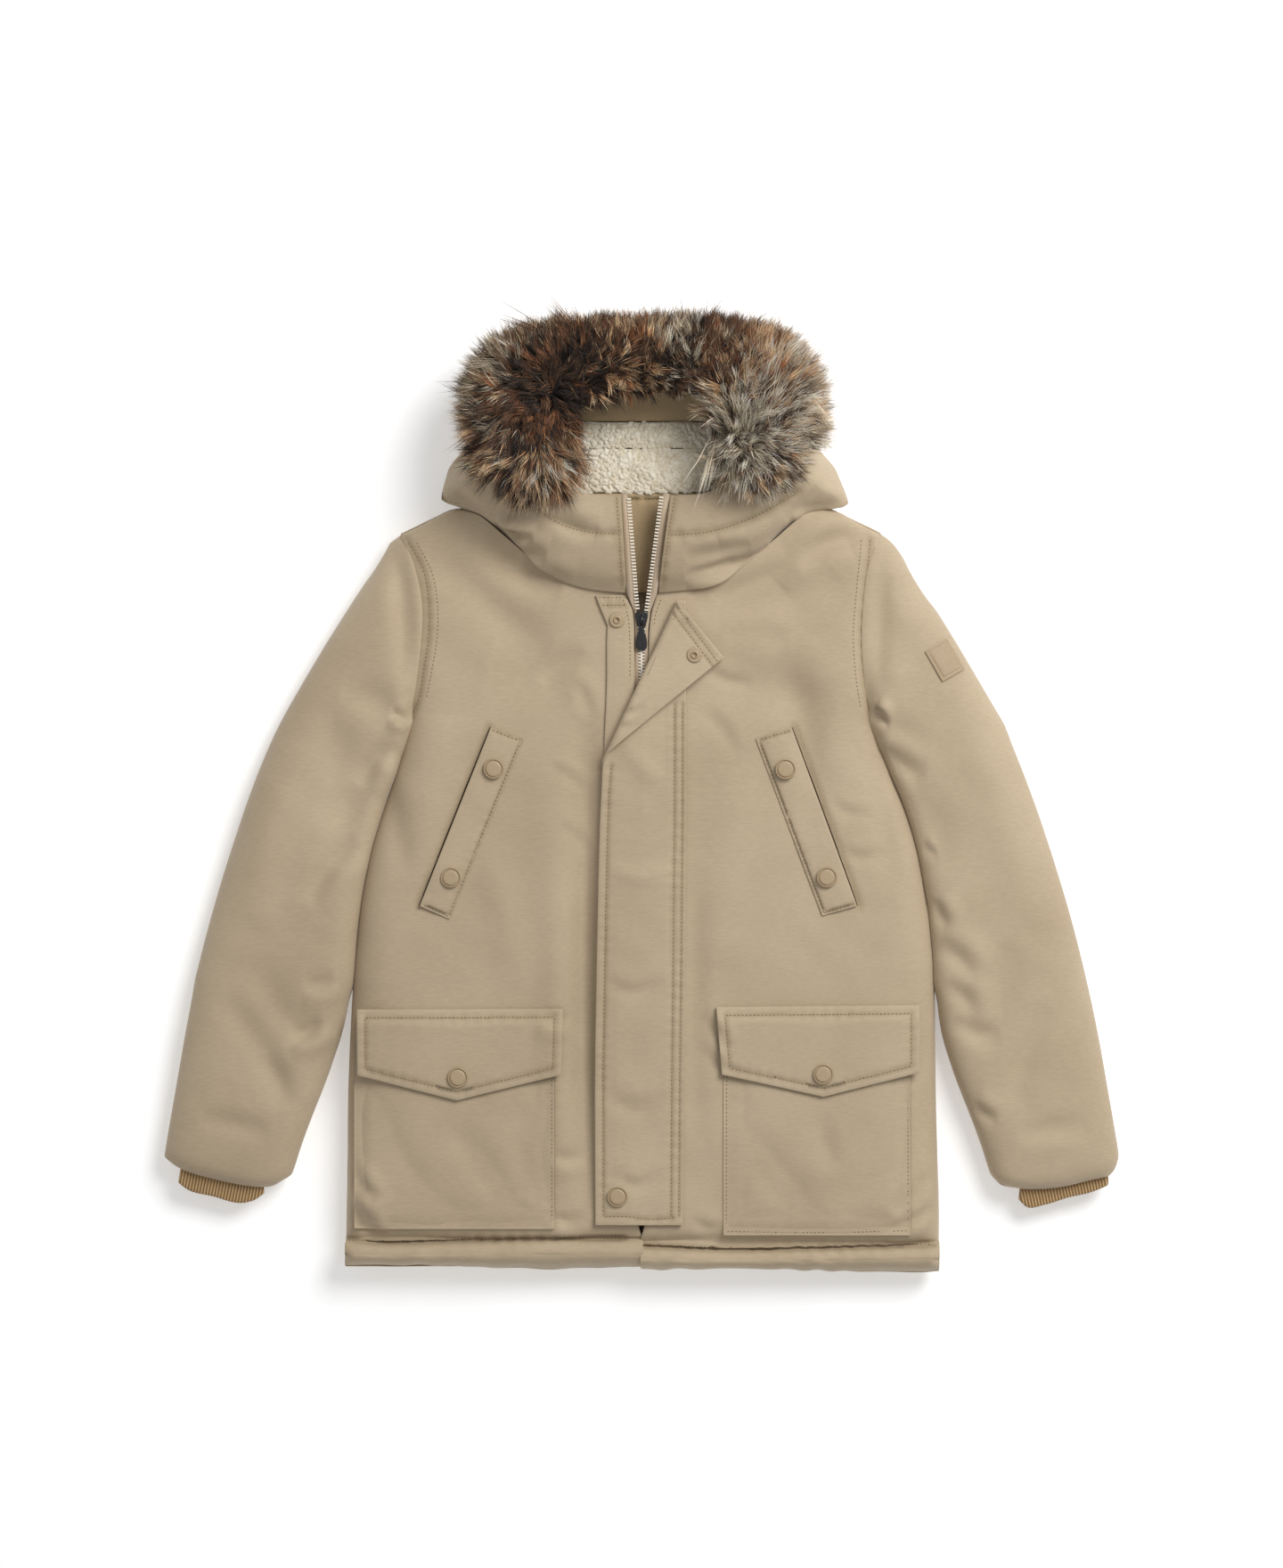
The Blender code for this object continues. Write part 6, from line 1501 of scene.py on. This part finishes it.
def hairLines(root, up, flow, flat, tuftLength, gather, tuft, draw):
    # each hair bends over from its root and closes in on its tuft's tip
    total = len(tuft)
    sideways = unit(np.cross(up, flow))
    forward = np.cross(sideways, up)
    angle, out = draw.uniform(0, 2 * np.pi, total), np.sqrt(draw.random(total))
    offset = fur["tuftRadius"] * (sideways[tuft] * (out * np.cos(angle))[:, None]
                                  + forward[tuft] * (out * np.sin(angle))[:, None])
    uneven = draw.uniform(0, fur["lengthSpread"], total)
    length = tuftLength[tuft] * (1 - fur["shorterOutside"] * out**2 - uneven)
    bend = draw.normal(0, fur["curl"], len(root))[tuft]
    stray = draw.normal(0, fur["stray"], (total, 3))
    stray *= np.where(draw.random(total) < fur["strayShare"], fur["strayMore"], 1.0)[:, None]
    wave = draw.uniform(0, 2 * np.pi, total)
    lies = flat[tuft]
    high, lower, flatter = fur["rise"]
    far, late = fur["run"]
    line = np.empty((total, fur["segments"] + 1, 3))
    for k, t in enumerate(np.linspace(0, 1, fur["segments"] + 1)):
        rise = length * t * (1 - flatter * lies) * (high - lower * t)
        run = far * length * lies * t**late
        aside = bend * length * t**2 + fur["wave"] * np.sin(4 * t + wave) * t
        gathered = (1 - (1 - gather[tuft]) * t**0.8)[:, None]
        line[:, k] = (root[tuft] + offset * gathered + up[tuft] * rise[:, None] + flow[tuft] * run[:, None]
                      + sideways[tuft] * aside[:, None] + stray * (length * t**1.5)[:, None])
    return line


def hairColours(plan, pick, wispKinds, tuft, draw):
    # kinds change from patch to patch, with some hairs of another kind in every tuft
    names = list(hairKinds)
    palette = np.array([[linear(colour)[:3] for colour in hairKinds[name]] for name in names])
    lists = [[names.index(kind) for kind in row[5].split()] for row in furGrowth]
    patch = np.array([noise.noise(Vector((x / fur["patchMm"], y / fur["patchMm"], 7.7))) for x, y in plan])
    middle, spread, chance = fur["patchTone"]
    place = np.clip(middle + spread * patch + draw.normal(0, chance, len(plan)), 0, 0.999)
    first = np.array([lists[row][int(share * len(lists[row]))] for row, share in zip(pick, place)])
    first[len(first) - len(wispKinds):] = [names.index(kind) for kind in wispKinds]
    kind = first[tuft]
    anew = np.flatnonzero(draw.random(len(tuft)) < fur["otherKind"])
    kind[anew] = [lists[row][draw.integers(len(lists[row]))] for row in pick[tuft[anew]]]
    tone = np.exp(draw.normal(0, fur["tuftTone"], len(pick)))[tuft]
    tone = tone * np.exp(draw.normal(0, fur["hairTone"], len(tuft)))
    root, low, high, tip = (palette[kind, k] * tone[:, None] for k in range(4))
    return [root * fur["rootTone"], low * fur["lowTone"][0] + root * fur["lowTone"][1], high, tip]


def furPiece(name, points, colours):
    # each hair is a flat strip that ends in one point
    perHair = points.shape[1]
    starts = np.arange(len(points))[:, None] * perHair
    quads = np.concatenate([starts + 2 * k + [0, 1, 3, 2] for k in range(fur["segments"] - 1)])
    ends = starts + [perHair - 3, perHair - 2, perHair - 1]
    mesh = meshOf(name, points.reshape(-1, 3), quads.tolist() + ends.tolist())
    tint = mesh.color_attributes.new("hairColour", "FLOAT_COLOR", "POINT")
    tint.data.foreach_set("color", colours.reshape(-1))
    putInScene(name, mesh, furHair)
    print(name, len(points), "hairs,", (2 * fur["segments"] - 1) * len(points), "triangles")


def wispRoots(backing):
    # the wisps start on the backing too, behind their tips
    tree = treeOf([backing])
    starts = []
    for x, y, turn, long, _ in furWisps:
        way = np.array([math.cos(math.radians(turn)), math.sin(math.radians(turn))])
        for back in np.linspace(1.0, 2.0, 12):
            at = np.array([x, y]) - long * back * way
            z, _ = dropOn(tree, *at)
            if z is not None:
                break
        starts.append((at[0], at[1] + planShift, z or fur["baseHigh"]))
    return starts


def addFur(backing):
    draw = np.random.default_rng(fur["seed"])
    root, normal = scatterRoots(backing.data, draw)
    starts = wispRoots(backing)
    root = np.concatenate([root, starts])
    normal = np.concatenate([normal, np.tile([0.0, 0.0, 1.0], (len(starts), 1))])
    plan = planOf(root)
    heading, flat, share, pick = growTufts(plan, draw)
    tuftLength = draw.uniform(*fur["length"], len(root)) * share
    wisps = np.array([row[:2] for row in furWisps], float)
    reach = wisps - plan[-len(wisps):]
    heading[-len(wisps):], flat[-len(wisps):] = np.arctan2(reach[:, 1], reach[:, 0]), fur["wispFlat"]
    tuftLength[-len(wisps):] = np.hypot(reach[:, 0], reach[:, 1]) / fur["wispRun"]
    up = unit(0.6 * normal + np.array([0, 0, 0.4]))
    flow = np.column_stack([np.cos(heading), np.sin(heading), np.zeros(len(heading))])
    inside = np.minimum(0, np.einsum("ij,ij->i", flow, normal))
    flow = unit(flow - normal * inside[:, None])
    tuft = np.repeat(np.arange(len(plan)), fur["hairs"])
    gather = np.full(len(plan), fur["gather"])
    gather[-len(wisps):] = fur["wispGather"]
    line = hairLines(root, up, flow, flat, tuftLength, gather, tuft, draw)
    under = [panels["hood_right"], panels["hood_left"], panels["hood_crown"], flats["neck_facing"],
             panels["front_right"], panels["front_left"], flats["hood_facing"]] + piles
    heightAt = groundGrid(under, fur["groundFrom"], fur["groundTo"], fur["groundStep"])
    line[..., 2] = np.maximum(line[..., 2], heightAt(line[..., 0], line[..., 1] - planShift) + fur["clear"])
    line[..., 2] = np.minimum(line[..., 2], fur["highest"])
    line[..., 1] = np.minimum(line[..., 1], fur["farthest"])
    tangent = unit(np.gradient(line, axis=1))
    facing = up[tuft] + draw.normal(0, fur["facingSpread"], (len(tuft), 3))
    across = unit(np.cross(tangent, facing[:, None]))
    half = 0.5 * fur["hairWidth"] * np.array(fur["taper"])[None, :, None]
    left, right = line - across * half, line + across * half
    rows = hairColours(plan, pick, [row[4] for row in furWisps], tuft, draw)
    perHair = 2 * fur["segments"] + 1
    points = np.empty((len(tuft), perHair, 3))
    colours = np.ones((len(tuft), perHair, 4))
    for k in range(fur["segments"]):
        points[:, 2 * k], points[:, 2 * k + 1] = left[:, k], right[:, k]
        colours[:, 2 * k, :3] = colours[:, 2 * k + 1, :3] = rows[k]
    points[:, -1] = line[:, -1]
    colours[:, -1, :3] = rows[-1]
    colours = np.clip(colours, 0, 1)
    x = root[tuft, 0]
    for name, low, high in zip(fur["pieces"], fur["bounds"], fur["bounds"][1:]):
        own = (x >= low) & (x < high)
        furPiece(name, points[own], colours[own])


addFur(furBacking())
print("fur made")

# stage, light and camera
stage = {"floor": "#fafafa", "floorGlow": 0.3, "floorReach": 6.0, "world": 0.43,
         "keyPower": 66.0, "keyPlace": (1.35, 1.5, 2.15), "keySize": 1.7,
         "sensor": 36.0, "lensDistance": 4.8, "frameHeight": 1.232, "aimHeight": 0.037, "aimY": 0.00895}


def addStage():
    mesh = bpy.data.meshes.new("paperFloor")
    reach = stage["floorReach"]
    mesh.from_pydata([(-reach, -reach, 0), (reach, -reach, 0), (reach, reach, 0), (-reach, reach, 0)], [],
                     [[0, 1, 2, 3]])
    floor = addObject("paperFloor", mesh)
    # uncoated paper lit from below: matt, white and without a hard edge
    paper, _ = newMaterial("mattPaper", {
        "Base Color": linear(stage["floor"]), "Roughness": 0.9, "Specular IOR Level": 0.2,
        "Emission Color": linear("#ffffff"), "Emission Strength": stage["floorGlow"]})
    floor.data.materials.append(paper)
    world = bpy.data.worlds.new("softRoom")
    world.use_nodes = True
    background = world.node_tree.nodes["Background"]
    background.inputs["Color"].default_value = linear("#ffffff")
    background.inputs["Strength"].default_value = stage["world"]
    bpy.context.scene.world = world
    light = bpy.data.lights.new("softbox", "AREA")
    light.energy = stage["keyPower"]
    light.shape = "DISK"
    light.size = stage["keySize"]
    lamp = addObject("softbox", light)
    lamp.location = stage["keyPlace"]
    lamp.rotation_euler = (-Vector(stage["keyPlace"])).to_track_quat("-Z", "Y").to_euler()


def addCamera():
    lens = bpy.data.cameras.new("copyStand")
    lens.sensor_fit = "VERTICAL"
    lens.sensor_height = stage["sensor"]
    lens.lens = stage["sensor"] * stage["lensDistance"] / stage["frameHeight"]
    camera = addObject("copyStand", lens)
    camera.location = (0, stage["aimY"], stage["aimHeight"] + stage["lensDistance"])
    bpy.context.scene.camera = camera


addStage()
addCamera()
bpy.context.scene.view_settings.view_transform = "Standard"
print("stage, light and camera set")
